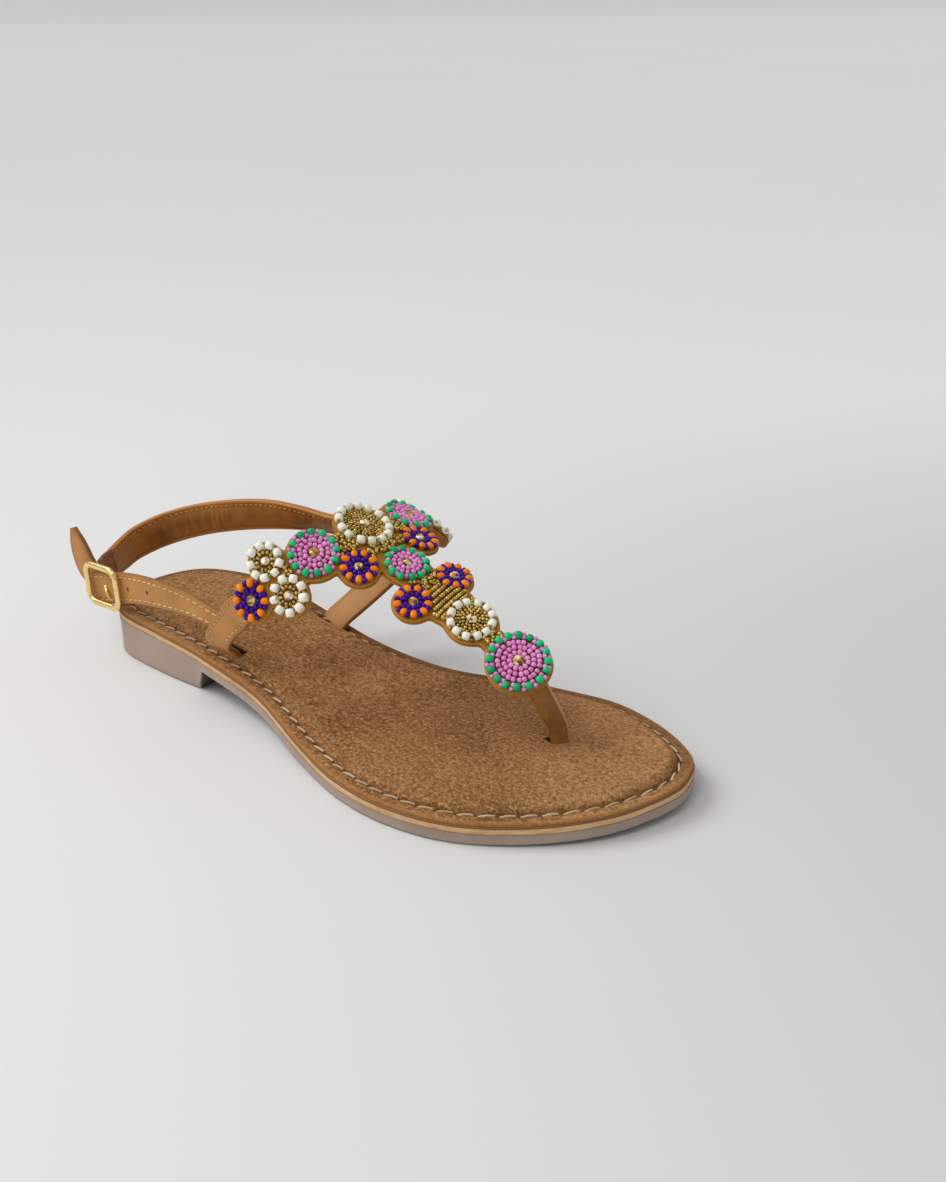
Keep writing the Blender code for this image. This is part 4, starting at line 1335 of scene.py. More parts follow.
class UpperSurface:
    """Turns distances along and across the T into places, outward normals and directions."""

    def __init__(self):
        self.along = np.arange(-40.0, 110.0, SURFACE_STEP)
        table = np.array(SPINE)
        self.slope = np.radians(np.interp(self.along, table[:, 0], table[:, 1]))
        self.run = self.summed(np.cos(self.slope), self.along)
        self.fall = self.summed(np.sin(self.slope), self.along)
        self.across = np.arange(-80.0, 80.0 + SURFACE_STEP, SURFACE_STEP)
        width = np.abs(self.across)
        angle = CROSS_BEND * width + SIDE_BEND * np.maximum(width - SIDE_START, 0.0) ** 2
        angle -= END_EASE * np.maximum(width - END_START, 0.0)
        self.angle = np.sign(self.across) * angle
        table = np.array(INNER_SHOULDER)
        self.angle -= INNER_EASE * np.interp(self.across, table[:, 0], table[:, 1])
        self.reach = self.summed(np.cos(self.angle), self.across)
        self.drop = self.summed(np.sin(self.angle), self.across)

    @staticmethod
    def summed(values, places):
        """Running sum of values along a line of places, counted from place 0."""
        middle = (values[1:] + values[:-1]) / 2.0
        total = np.concatenate([[0.0], np.cumsum(middle) * SURFACE_STEP])
        return total - total[np.abs(places).argmin()]

    def frame(self, along, across):
        """Places, normals, and directions to the toe and to the inner side, for arrays of spots."""
        along = np.atleast_1d(np.asarray(along, float))
        across = np.atleast_1d(np.asarray(across, float))
        slope = np.interp(along, self.along, self.slope)[:, None]
        toe = np.hstack([np.cos(slope), 0.0 * slope, -np.sin(slope)])
        upright = np.hstack([np.sin(slope), 0.0 * slope, np.cos(slope)])
        roll = (ROLL_AT_TOP + ROLL_PER_MM * along)[:, None]
        inward = np.array([[0.0, 1.0, 0.0]])
        level = np.cos(roll) * inward + np.sin(roll) * upright
        outward = np.cos(roll) * upright - np.sin(roll) * inward
        angle = np.interp(across, self.across, self.angle)[:, None]
        run = np.interp(along, self.along, self.run)
        fall = np.interp(along, self.along, self.fall)
        place = np.column_stack([run, 0.0 * run, -fall])
        place = place + np.interp(across, self.across, self.reach)[:, None] * level
        place = place - np.interp(across, self.across, self.drop)[:, None] * outward
        normal = np.sin(angle) * level + np.cos(angle) * outward
        sideways = np.cos(angle) * level - np.sin(angle) * outward
        cos, sin = math.cos(UPPER_YAW), math.sin(UPPER_YAW)
        turn = np.array([[cos, -sin, 0.0], [sin, cos, 0.0], [0.0, 0.0, 1.0]]).T
        return UPPER_ORIGIN + place @ turn, normal @ turn, toe @ turn, sideways @ turn


surface = UpperSurface()
print("top of the T:", surface.frame(0.0, 0.0)[0].round(1).tolist())

# %% [markdown]
# ### Vamp straps and toe post
#
# The two vamp straps come from under the ends of the T and go down into the insole's slots. The toe post is a
# leather roll, thicker than a strap, with one seam along it and a paler leather on one side of the seam.

# %% Vamp straps
STRAP_THICKNESS = 2.2
STRAP_BURIED = -3.3
VAMP_STITCH = (2.3, 1.7, 0.2, 0.1, 0.0, 0.24)
VAMP_ANCHORS = ((-2.0, 42.0), (-3.0, 47.0), (-4.0, 52.0), (-5.2, 56.5))
VAMP_ANCHOR_WIDTH = 11.5
# x, y, z, width
LATERAL_VAMP = (
    (101.0, -33.9, 38.4, 10.6),
    (94.0, -33.4, 31.0, 10.2),
    (89.0, -30.6, 25.0, 10.2),
    (86.8, -25.2, 19.8, 10.2),
    (86.4, -22.8, 16.3, 10.2),
)
MEDIAL_VAMP = (
    (107.6, 36.8, 33.8, 12.0),
    (103.9, 31.0, 28.2, 11.8),
    (99.9, 25.2, 22.7, 11.6),
    (96.8, 20.6, 18.4, 11.4),
    (95.4, 18.6, 15.7, 11.4),
)


def make_vamp_strap(name, sign, rows):
    anchors = np.array(VAMP_ANCHORS)
    place, normal, toe, _ = surface.frame(anchors[:, 0], sign * anchors[:, 1])
    width = np.full(len(anchors), VAMP_ANCHOR_WIDTH)
    upper_rows = np.column_stack([place + STRAP_BURIED * normal, width])
    across = np.vstack([toe, np.tile((1.0, 0.0, 0.0), (len(rows), 1))])
    path = swept(np.vstack([upper_rows, rows]), across)
    half_way = len(path[0]) // 2
    outward = path[4][half_way]
    face = 1.0 if outward[1] * path[0][half_way][1] > 0.0 else -1.0
    made = make_strap(name, path, STRAP_THICKNESS, [strap_leather, strap_leather], face)
    lines = seam_lines(path, STRAP_THICKNESS, face)
    seam(name + "_stitches", lines, "strap_leather", VAMP_STITCH, strap_thread)
    return made


vamp_lateral = make_vamp_strap("vamp_strap_lateral", -1.0, LATERAL_VAMP)
vamp_medial = make_vamp_strap("vamp_strap_medial", 1.0, MEDIAL_VAMP)
print("vamp strap faces:", len(vamp_lateral.data.polygons), len(vamp_medial.data.polygons))

# %% Toe post
POST_ANCHORS = ((72.0, 0.0), (79.0, 0.0))
POST_ANCHOR_WIDTH = 7.4
POST_BURIED = -4.6
POST = ((202.6, 5.2, 23.5, 7.2), (204.8, 8.8, 14.0, 6.6), (205.3, 9.7, 7.6, 6.2))
POST_DEPTH = 2.5
POST_ACROSS = (0.35, 0.94, 0.0)
POST_SIDES = 72
POST_SQUARENESS = 2.8
POST_SEAM_ANGLE = math.radians(60.0)
POST_STEP = 0.8
POST_SHARP = 60.0
PALE_FROM = 1.75 * math.pi
GROOVE_ANGLE = 0.11
GROOVE_DEPTH = 0.1


def make_toe_post():
    anchors = np.array(POST_ANCHORS)
    place, normal, _, sideways = surface.frame(anchors[:, 0], anchors[:, 1])
    width = np.full(len(anchors), POST_ANCHOR_WIDTH)
    upper_rows = np.column_stack([place + POST_BURIED * normal, width])
    across = np.vstack([sideways, np.tile(POST_ACROSS, (len(POST), 1))])
    place, width, _, wide, thick = swept(np.vstack([upper_rows, POST]), across, POST_STEP)
    angles = turns(POST_SIDES)
    cos, sin = np.cos(angles), np.sin(angles)
    reach = (np.abs(cos) ** POST_SQUARENESS + np.abs(sin) ** POST_SQUARENESS) ** (-1.0 / POST_SQUARENESS)
    groove = np.exp(-(((angles - POST_SEAM_ANGLE) / GROOVE_ANGLE) ** 2))
    reach *= 1.0 - GROOVE_DEPTH * groove
    pale = (angles < POST_SEAM_ANGLE) | (angles > PALE_FROM)
    sections = []
    for row, half in enumerate(width / 2.0):
        across_part = np.outer(reach * cos * half, wide[row])
        sections.append(place[row] + across_part + np.outer(reach * sin * POST_DEPTH, thick[row]))
    count = len(place)
    # The post's seam groove gets painted shade.
    values = {"edge": np.tile(pale, count), "furrow": np.tile(groove, count)}
    faces = tube_faces(count, POST_SIDES)
    made = piece("toe_post", np.vstack(sections), faces, [post_leather], sharp=POST_SHARP, **values)
    return dress(made, "strap_leather")


toe_post = make_toe_post()
print("toe post faces:", len(toe_post.data.polygons))

# %% [markdown]
# ### Back strap, elastic and buckle strap
#
# The back strap starts under the inner end of the T, leans over the ankle, and runs upright round the heel. A
# short ribbed elastic joins it to the buckle. The buckle strap comes from the outer vamp strap, runs through
# the buckle, and its pointed tail stands up behind it. Bends round the heel crease the lining.

# %% Back strap
BACK_STRAP_ANCHOR = (-8.0, 31.0)
BACK_STRAP_UNDER = -5.45
# x, y, z, width, lean of the top towards the foot in degrees
BACK_STRAP = (
    (101.0, 33.4, 52.2, 12.0, 50.0),
    (86.0, 34.0, 47.8, 12.5, 40.0),
    (70.0, 32.0, 47.4, 12.5, 28.0),
    (55.0, 29.2, 46.4, 12.5, 12.0),
    (38.0, 24.6, 43.6, 12.5, 2.0),
    (22.0, 19.2, 39.4, 12.8, 0.0),
    (10.0, 12.0, 34.8, 13.0, 0.0),
    (4.6, 2.5, 31.0, 13.0, 0.0),
    (4.9, -4.5, 28.9, 13.0, 0.0),
    (6.8, -11.2, 27.6, 12.5, 0.0),
)
BACK_STRAP_THICKNESS = 2.3
BACK_STITCH = (2.3, 1.5, 0.32, 0.2, 0.0, 0.3)
LINING_SEAM_INSET = 1.9
# Creases of the lining: distance along the strap, half width, height, slant
CREASES = (
    (84.0, 1.6, 0.5, 0.3),
    (88.5, 1.4, 0.7, 0.12),
    (93.5, 1.2, 0.8, -0.25),
    (98.0, 1.3, 0.9, 0.2),
    (102.5, 1.1, 0.8, -0.15),
    (106.5, 1.2, 0.9, 0.3),
    (111.0, 1.1, 0.8, 0.0),
    (115.5, 1.3, 0.9, 0.25),
    (120.0, 1.2, 0.7, -0.2),
    (36.0, 3.0, 0.5, 0.5),
    (49.0, 2.4, 0.4, -0.4),
    (62.0, 2.6, 0.45, 0.3),
    (74.0, 2.0, 0.4, -0.3),
)
CREASE_REACH = 4.6
ANKLE_MIDDLE = np.array([60.0, 0.0, 0.0])


def leaning(rows):
    """Width directions of an upright strap whose top leans towards the foot."""
    lean = np.radians([row[4] for row in rows])
    side = np.sign([row[1] for row in rows])
    return np.column_stack([np.zeros(len(rows)), -side * np.sin(lean), np.cos(lean)])


def lining_creases(row, across, depth):
    if depth > 0.0:
        return 0.0
    along = row * STRAP_STEP
    push = 0.0
    for middle, half, height, slant in CREASES:
        push += height * math.exp(-(((along - middle - slant * across) / half) ** 2))
    return push * max(0.0, 1.0 - (across / CREASE_REACH) ** 2)


def outer_face(path):
    """1 where the strap's thickness direction points away from the foot, else -1."""
    place, _, _, _, thick = path
    away = place - ANKLE_MIDDLE
    away[:, 2] = 0.0
    return 1.0 if np.sum(away * thick) > 0.0 else -1.0


def make_back_strap():
    place, normal, _, sideways = surface.frame(*BACK_STRAP_ANCHOR)
    first = np.append(place + BACK_STRAP_UNDER * normal, BACK_STRAP[0][3])
    rows = np.vstack([first, np.array(BACK_STRAP)[:, :4]])
    path = swept(rows, np.vstack([-sideways, leaning(BACK_STRAP)]))
    face = outer_face(path)

    def creases(row, across, depth):
        return -face * lining_creases(row, across, depth)

    leathers = [golden_leather, lining_leather]
    thickness = BACK_STRAP_THICKNESS
    made = make_strap("back_strap_leather", path, thickness, leathers, face, ["back_strap"], creases)
    lines = seam_lines(path, thickness, face)
    lines += seam_lines(path, thickness, -face, (1.0,), LINING_SEAM_INSET)
    seam("back_strap_stitches", lines, "strap_leather", BACK_STITCH, tone_thread)
    return made


back_strap = make_back_strap()
print("back strap faces:", len(back_strap.data.polygons))

# %% Buckle strap
# x, y, z, width
BUCKLE_STRAP = (
    (92.6, -30.0, 33.0, 7.6),
    (84.0, -30.2, 34.4, 8.0),
    (75.0, -30.1, 35.4, 8.8),
    (62.0, -29.6, 34.9, 10.2),
    (46.0, -28.0, 32.6, 11.2),
    (33.4, -26.8, 29.7, 11.8),
    (23.8, -26.3, 27.0, 12.4),
    (13.4, -25.8, 24.4, 12.6),
)
TAIL = (
    (18.0, -25.4, 26.4, 9.0),
    (13.4, -25.2, 29.3, 11.2),
    (9.6, -25.1, 32.6, 12.0),
    (7.5, -25.0, 36.6, 11.4),
    (5.9, -24.9, 40.6, 9.2),
    (4.7, -24.8, 43.8, 5.8),
    (3.9, -24.7, 46.0, 2.6),
)
BUCKLE_STITCH = (3.2, 2.2, 0.26, 0.12, 0.06, 0.0)
BUCKLE_SEAM_START = 4
# Places of the punched holes along x, and their radius and lift from rim to bottom
PUNCHES = (38.5, 51.3)
PUNCH_SECTION = ((0.85, 0.0), (0.75, 0.14), (0.6, 0.15), (0.35, 0.1))
PUNCH_SIDES = 12


def upright_path(rows, spacing=STRAP_STEP):
    """The path of a strap that stands straight up."""
    return swept(rows, np.tile((0.0, 0.0, 1.0), (len(rows), 1)), spacing)


def make_punches(path, face):
    """Holes punched in the buckle strap: small cups with a pressed rim, painted dark as shade."""
    place, _, tangent, wide, thick = path
    points = []
    faces = []
    for x in PUNCHES:
        row = np.abs(place[:, 0] - x).argmin()
        start = len(points)
        for radius, lift in PUNCH_SECTION:
            middle = place[row] + face * (STRAP_THICKNESS / 2.0 + lift) * thick[row]
            for angle in turns(PUNCH_SIDES):
                spoke = math.cos(angle) * tangent[row] + math.sin(angle) * wide[row]
                points.append(middle + radius * spoke)
        faces += [[start + i for i in ring] for ring in tube_faces(len(PUNCH_SECTION), PUNCH_SIDES)]
    return dress(piece("buckle_strap_holes", points, faces, [needle_hole]), "strap_leather")


def make_buckle_strap():
    path = upright_path(BUCKLE_STRAP)
    face = outer_face(path)
    leathers = [strap_leather, strap_leather]
    made = make_strap("buckle_strap_leather", path, STRAP_THICKNESS, leathers, face, ["buckle_strap"])
    lines = seam_lines(path, STRAP_THICKNESS, face, first=BUCKLE_SEAM_START)
    seam("buckle_strap_stitches", lines, "strap_leather", BUCKLE_STITCH, strap_thread)
    make_punches(path, face)
    tail = upright_path(TAIL)
    make_strap("buckle_strap_tail", tail, STRAP_THICKNESS, leathers, outer_face(tail))
    return made


buckle_strap = make_buckle_strap()
print("buckle strap faces:", len(buckle_strap.data.polygons))

# %% Elastic
ELASTIC = ((6.9, -10.6, 27.7, 12.3), (9.2, -17.0, 27.7, 11.8), (12.6, -21.6, 28.0, 11.0))
ELASTIC_THICKNESS = 1.4
ELASTIC_STEP = 0.32
ELASTIC_SHARP = 70.0
RIB_PITCH = 1.3
RIB_COLUMNS = 43
RIB_SWELL = 0.25


def make_elastic():
    """A ribbed web: its thickness swells and narrows across the ribs."""
    place, width, _, wide, thick = upright_path(ELASTIC, ELASTIC_STEP)
    columns = np.linspace(-1.0, 1.0, RIB_COLUMNS)
    points = []
    for row, half in enumerate(width / 2.0):
        for face in (1, -1):
            for share in columns[::face]:
                swell = 1.0 - RIB_SWELL + RIB_SWELL * math.cos(2.0 * math.pi * share * half / RIB_PITCH)
                lift = face * ELASTIC_THICKNESS / 2.0 * swell
                points.append(place[row] + share * half * wide[row] + lift * thick[row])
    faces = tube_faces(len(place), 2 * RIB_COLUMNS)
    made = piece("elastic_ribs", points, faces, [elastic_web], sharp=ELASTIC_SHARP)
    return dress(made, "elastic_web", "elastic")


elastic = make_elastic()
print("elastic faces:", len(elastic.data.polygons))

# %% [markdown]
# ### Buckle
#
# The buckle is a rounded rectangle of light gold wire, slightly flattened. The wire's section is swept
# round the frame. The prong is a thin tapered pin that comes out of the strap's hole.

# %% Buckle
BUCKLE_LENGTH = 21.0
BUCKLE_HEIGHT = 17.6
BUCKLE_CORNER = 5.0
BUCKLE_WIRE = 2.6
BUCKLE_CLEARANCE = 0.45
BUCKLE_FRONT = np.array([33.4, -26.8, 30.3])
BUCKLE_MIDDLE = np.array([23.8, -26.3, 28.6])
BUCKLE_REAR = np.array([14.6, -25.9, 29.3])
CORNER_STEPS = 10
WIRE_SIDES = 14
PIN_SIDES = 10
WIRE_FLATNESS = 0.8
WIRE_STEP = 0.9
WIRE_SHARP = 70.0
PIN_SHARP = 60.0
CORNER_SIGNS = ((1, 1), (-1, 1), (-1, -1), (1, -1))
# The prong: x, z on the strap, distance off its face, radius
PRONG = (
    (22.6, 28.6, -0.6, 0.6),
    (23.8, 27.4, 0.3, 0.62),
    (24.8, 26.0, 0.75, 0.58),
    (25.6, 24.7, 0.9, 0.5),
    (26.1, 23.6, 0.8, 0.34),
)


def buckle_axes():
    along = (BUCKLE_FRONT - BUCKLE_REAR) / np.linalg.norm(BUCKLE_FRONT - BUCKLE_REAR)
    outward = np.cross(along, (0.0, 0.0, 1.0))
    outward /= np.linalg.norm(outward)
    upright = np.cross(outward, along)
    centre = BUCKLE_MIDDLE + outward * (STRAP_THICKNESS / 2.0 + BUCKLE_CLEARANCE + BUCKLE_WIRE / 2.0)
    return centre, along, upright, outward


def make_buckle_frame():
    centre, along, upward, outward = buckle_axes()
    inner = BUCKLE_CORNER - BUCKLE_WIRE / 2.0
    path = []
    for turn, (sign_a, sign_b) in enumerate(CORNER_SIGNS):
        for step in range(CORNER_STEPS + 1):
            angle = math.radians(90.0) * (turn + step / CORNER_STEPS)
            a = sign_a * (BUCKLE_LENGTH / 2.0 - BUCKLE_CORNER) + inner * math.cos(angle)
            b = sign_b * (BUCKLE_HEIGHT / 2.0 - BUCKLE_CORNER) + inner * math.sin(angle)
            path.append((a, b, 0.0))
    path = evenly(np.array(path), WIRE_STEP, closed=True)
    run = np.roll(path, -1, axis=0) - np.roll(path, 1, axis=0)
    run /= np.linalg.norm(run, axis=1)[:, None]
    points = []
    for (a, b, _), ahead in zip(path, run):
        side = along * ahead[1] - upward * ahead[0]
        for angle in turns(WIRE_SIDES):
            offset = side * math.cos(angle) + outward * math.sin(angle) * WIRE_FLATNESS
            points.append(centre + along * a + upward * b + offset * BUCKLE_WIRE / 2.0)
    faces = loop_faces(len(path), WIRE_SIDES)
    made = piece("buckle_wire", points, faces, [gold_metal], sharp=WIRE_SHARP)
    return dress(made, "gold_metal", "buckle_frame")


def make_buckle_prong():
    """A thin pin that comes out of the strap's hole and ends in a short tip."""
    _, along, upward, outward = buckle_axes()
    points = []
    for x, z, lift, radius in PRONG:
        middle = BUCKLE_MIDDLE + (x - BUCKLE_MIDDLE[0]) * along + (z - BUCKLE_MIDDLE[2]) * upward
        middle = middle + outward * (STRAP_THICKNESS / 2.0 + lift)
        for angle in turns(PIN_SIDES):
            points.append(middle + (along * math.cos(angle) + outward * math.sin(angle)) * radius)
    made = piece("buckle_pin", points, tube_faces(len(PRONG), PIN_SIDES), [gold_metal], sharp=PIN_SHARP)
    return dress(made, "gold_metal", "buckle_prong")


buckle_frame = make_buckle_frame()
buckle_prong = make_buckle_prong()
print("buckle faces:", len(buckle_frame.data.polygons), len(buckle_prong.data.polygons))

# %% [markdown]
# ## The scalloped T
#
# The T is leather cut close round its beaded medallions, so its outline is a string of scallops. A distance
# function describes it: the union of one disc for each medallion and a few fillers, blended softly. A fine
# grid is clipped to that outline and laid on the upper's surface, twice: a top leather and a backing, whose
# edges show as two thin lines.

# %% Medallion places
# Name, place along and across the T, radius
MEDALLIONS = (
    ("toe", 73.9, 0.0, 9.7),
    ("shaft", 52.4, 0.0, 7.8),
    ("throat", 34.8, 9.4, 5.8),
    ("centre", 21.7, 0.0, 7.4),
    ("inner", 13.7, 14.2, 5.8),
    ("top", 0.0, 0.0, 9.1),
    ("shoulder", 0.8, 22.8, 8.3),
    ("front", 5.9, 38.3, 5.6),
    ("back", -7.5, 37.1, 5.5),
    ("end", -2.6, 49.2, 5.7),
)
# Leather between the medallions: along, across, radius
FILLERS = (
    (42.5, 0.0, 8.8),
    (4.0, 12.5, 5.5),
    (9.0, 0.0, 6.0),
    (30.0, 0.0, 6.0),
    (62.6, 0.0, 4.4),
    (11.6, 6.5, 3.2),
    (-0.3, 33.0, 3.4),
)
BASE_MARGIN = 1.25
BASE_ROUNDING = 0.7


def medallion_places():
    """Node name, kind, along, across and radius of each medallion."""
    places = []
    for name, along, across, radius in MEDALLIONS:
        if across == 0.0:
            places.append((f"medallion_{name}", name, along, 0.0, radius))
            continue
        for side, sign in (("lateral", -1.0), ("medial", 1.0)):
            places.append((f"medallion_{name}_{side}", name, along, sign * across, radius))
    return places


places = medallion_places()
discs = [(along, across, radius + BASE_MARGIN) for _, _, along, across, radius in places]
for along, across, radius in FILLERS:
    for sign in (-1.0, 1.0) if across else (1.0,):
        discs.append((along, sign * across, radius))
discs = np.array(discs)


def base_distance(along, across):
    """How far spots lie outside the scalloped outline, below zero inside it."""
    away = np.hypot(along[..., None] - discs[:, 0], across[..., None] - discs[:, 1])
    depths = discs[:, 2] - away
    deepest = depths.max(axis=-1)
    total = np.exp((depths - deepest[..., None]) / BASE_ROUNDING).sum(axis=-1)
    return -deepest - BASE_ROUNDING * np.log(total)


print("discs in the T's outline:", len(discs))

# %% Outline grid
BASE_STEP = 1.0
BASE_REACH = ((-24.0, 94.0), (-65.0, 65.0))
# Grid spots this near to the outline are moved onto it, in a few rounds
SNAP_REACH = 0.4
SNAP_ROUNDS = 4
PROBE = 0.01


def clipped_grid(margin):
    """A flat mesh inside the outline grown by a margin: spots and faces."""
    alongs = np.arange(*BASE_REACH[0], BASE_STEP)
    acrosses = np.arange(*BASE_REACH[1], BASE_STEP)
    grid_a, grid_b = (values.ravel() for values in np.meshgrid(alongs, acrosses, indexing="ij"))
    spots = np.column_stack([grid_a, grid_b])
    value = base_distance(grid_a, grid_b) - margin
    near = np.abs(value) < SNAP_REACH
    for _ in range(SNAP_ROUNDS):
        here = base_distance(spots[near, 0], spots[near, 1]) - margin
        slope_a = (base_distance(spots[near, 0] + PROBE, spots[near, 1]) - margin - here) / PROBE
        slope_b = (base_distance(spots[near, 0], spots[near, 1] + PROBE) - margin - here) / PROBE
        steep = slope_a**2 + slope_b**2
        spots[near, 0] -= here * slope_a / steep
        spots[near, 1] -= here * slope_b / steep
    value[near] = 0.0
    spots = [tuple(spot) for spot in spots]
    crossings = {}

    def crossing(i, j):
        key = (min(i, j), max(i, j))
        if key not in crossings:
            share = value[i] / (value[i] - value[j])
            a, b = np.array(spots[i]), np.array(spots[j])
            crossings[key] = len(spots)
            spots.append(tuple(a + share * (b - a)))
        return crossings[key]

    columns = len(acrosses)
    faces = []
    for row in range(len(alongs) - 1):
        for column in range(columns - 1):
            corner = row * columns + column
            square = (corner, corner + columns, corner + columns + 1, corner + 1)
            if min(value[i] for i in square) >= 0.0:
                continue
            for triangle in ((square[0], square[1], square[2]), (square[0], square[2], square[3])):
                if min(value[i] for i in triangle) >= 0.0:
                    continue
                face = []
                for i, j in zip(triangle, triangle[1:] + triangle[:1]):
                    if value[i] <= 0.0:
                        face.append(i)
                    if value[i] * value[j] < 0.0:
                        face.append(crossing(i, j))
                faces.append(face)
    used = sorted({i for face in faces for i in face})
    number = {old: new for new, old in enumerate(used)}
    return np.array([spots[i] for i in used]), [[number[i] for i in face] for face in faces]


print("spots of the T:", len(clipped_grid(0.0)[0]))

# %% Base leather
BASE_TOP = -1.1
BASE_BOTTOM = -2.6
MIDDLE_LEVEL = -1.9
LAYER_GAP = 0.06
BACKING_MARGIN = 0.28
EDGE_EASE = 0.28
EASE_WIDTH = 0.9
RUBBED_WIDTH = 0.7


def make_layer(name, margin, low, high, leathers):
    """A leather layer between two heights over the upper's surface, with eased edges."""
    spots, faces = clipped_grid(margin)
    place, normal, _, _ = surface.frame(spots[:, 0], spots[:, 1])
    inside = margin - base_distance(spots[:, 0], spots[:, 1])
    ease = EDGE_EASE * (1.0 - smoothstep(inside, 0.0, EASE_WIDTH))
    top = place + (high - ease)[:, None] * normal
    bottom = place + (low + 0.5 * ease)[:, None] * normal
    count = len(spots)
    edges = {(face[i], face[(i + 1) % len(face)]) for face in faces for i in range(len(face))}
    rim = sorted((a, b) for a, b in edges if (b, a) not in edges)
    shell = [list(face) for face in faces]
    shell += [[count + i for i in reversed(face)] for face in faces]
    shell += [[b, a, count + a, count + b] for a, b in rim]
    choice = [0] * (2 * len(faces)) + [1] * len(rim)
    edge = np.tile(1.0 - smoothstep(inside, 0.0, RUBBED_WIDTH), 2)
    values = {"edge": edge, "furrow": np.zeros(2 * count)}
    return piece(name, np.vstack([top, bottom]), shell, leathers, choice, STRAP_SHARP, **values)


leathers = [base_leather, edge_leather]
base_top = make_layer("t_base_leather", 0.0, MIDDLE_LEVEL, BASE_TOP, leathers)
dress(base_top, "base_leather", "upper")
leathers = [base_leather, base_leather]
base_back = make_layer("t_base_backing", BACKING_MARGIN, BASE_BOTTOM, MIDDLE_LEVEL - LAYER_GAP, leathers)
dress(base_back, "base_leather")
print("base faces:", len(base_top.data.polygons), len(base_back.data.polygons))

# %% [markdown]
# ## Beads
#
# Around a stone, rings of glass seed beads are sewn down, then an outer ring of larger beads. A bead is a
# small turned shape with a hole; there are six kinds and two stones. Geometry Nodes set a bead on each point,
# turned by two directions that the point carries: out of the leather, and along the thread. Which bead a
# point takes is a whole number on it, so one tree makes a whole medallion.

# %% Bead shapes
STONE_RADIUS = 1.8
STONE_SIDES = 10
# Rings of a stone from its table to its skirt: share of the radius, height as a share of the radius
STONE_RINGS = ((0.5, 0.62), (0.86, 0.3), (1.0, 0.0), (1.0, -0.5))
PLAIN_FLAT = 0.72
PLAIN_SHOULDER = 0.82
SHOULDER_PER_FLAT = 0.6
MOUTH_ROUNDING = 0.12


def template(name, points, faces):
    """A small shape for a tree to repeat. It isn't linked to the scene."""
    mesh = bpy.data.meshes.new(name)
    mesh.from_pydata((np.array(points) * MM).tolist(), [], faces)
    return bpy.data.objects.new(name, mesh)


def bead_profile(length, diameter, hole=0.3, flat=PLAIN_FLAT):
    """A short barrel with rounded ends and a hole. flat is the share of it that is nearly straight."""
    half, radius = length / 2.0, diameter / 2.0
    mouth = hole + MOUTH_ROUNDING
    shoulder = (PLAIN_SHOULDER + SHOULDER_PER_FLAT * (flat - PLAIN_FLAT)) * radius
    return (-half, mouth), (-flat * half, shoulder), (0.0, radius), (flat * half, shoulder), (half, mouth)


def turned_bead(name, profile, sides):
    """A bead turned about X, the way of its thread. The profile of places and radii closes on itself."""
    points = []
    for angle in turns(sides):
        points += [(x, radius * math.cos(angle), radius * math.sin(angle)) for x, radius in profile]
    made = template(name, points, loop_faces(sides, len(profile)))
    made.data.shade_smooth()
    return made


def cut_stone(name):
    """A round stone with a flat table, star facets, a sloping crown and a low skirt."""
    points = []
    for row, (share, height) in enumerate(STONE_RINGS):
        reach = STONE_RADIUS * share
        for angle in turns(STONE_SIDES) + row % 2 * math.pi / STONE_SIDES:
            points.append((reach * math.cos(angle), reach * math.sin(angle), STONE_RADIUS * height))
    faces = [tuple(range(STONE_SIDES))]
    for row in range(len(STONE_RINGS) - 1):
        low = row * STONE_SIDES
        high = low + STONE_SIDES
        for step in range(STONE_SIDES):
            after = (step + 1) % STONE_SIDES
            if row % 2 == 0:
                faces.append((low + step, high + step, low + after))
                faces.append((low + after, high + step, high + after))
            else:
                faces.append((low + step, high + step, high + after))
                faces.append((low + step, high + after, low + after))
    return template(name, points, faces)


BEAD_SHAPES = {
    "pink": turned_bead("pink_bead", bead_profile(1.6, 1.85), 10),
    "purple": turned_bead("purple_bead", bead_profile(1.65, 1.85), 10),
    "gold": turned_bead("gold_bead", bead_profile(1.0, 1.3, 0.2), 8),
    "green": turned_bead("green_bead", bead_profile(2.5, 2.75, 0.4), 12),
    "orange": turned_bead("orange_bead", bead_profile(2.9, 2.5, 0.4, 0.66), 12),
    "white": turned_bead("white_bead", bead_profile(2.75, 2.95, 0.5, 0.86), 12),
    "amber": cut_stone("amber_stone"),
    "clear": cut_stone("clear_stone"),
}
KINDS = list(BEAD_SHAPES)
print("kinds of beads and stones:", len(KINDS))

# %% Bead tree


def build_bead_tree():
    nodes, inputs, output, names = geometry_tree(
        "beadwork",
        [(f"{kind} shape", "NodeSocketObject", None) for kind in KINDS]
        + [(f"{kind} finish", MATERIAL, None) for kind in KINDS],
    )
    placed = {
        "Points": inputs["Geometry"],
        "Rotation": facing_turn(nodes, named_value(nodes, "heading", "FLOAT_VECTOR")),
        "Scale": named_value(nodes, "size", "FLOAT_VECTOR"),
    }
    kind_value = named_value(nodes, "kind", "INT")
    joined = nodes.add("GeometryNodeJoinGeometry")
    for number, kind in enumerate(KINDS):
        source = {"Object": inputs[f"{kind} shape"]}
        shape = nodes.step("GeometryNodeObjectInfo", source, "Geometry", transform_space="ORIGINAL")
        values = {2: kind_value, 3: number}
        chosen = nodes.step("FunctionNodeCompare", values, "Result", data_type="INT", operation="EQUAL")
        values = {**placed, "Selection": chosen, "Instance": shape}
        instances = nodes.step("GeometryNodeInstanceOnPoints", values, "Instances")
        real = toned(nodes, instances, 0.0, number)
        nodes.put(joined.inputs["Geometry"], painted(nodes, real, inputs[f"{kind} finish"]))
    nodes.put(output, joined.outputs["Geometry"])
    return nodes.tree, names


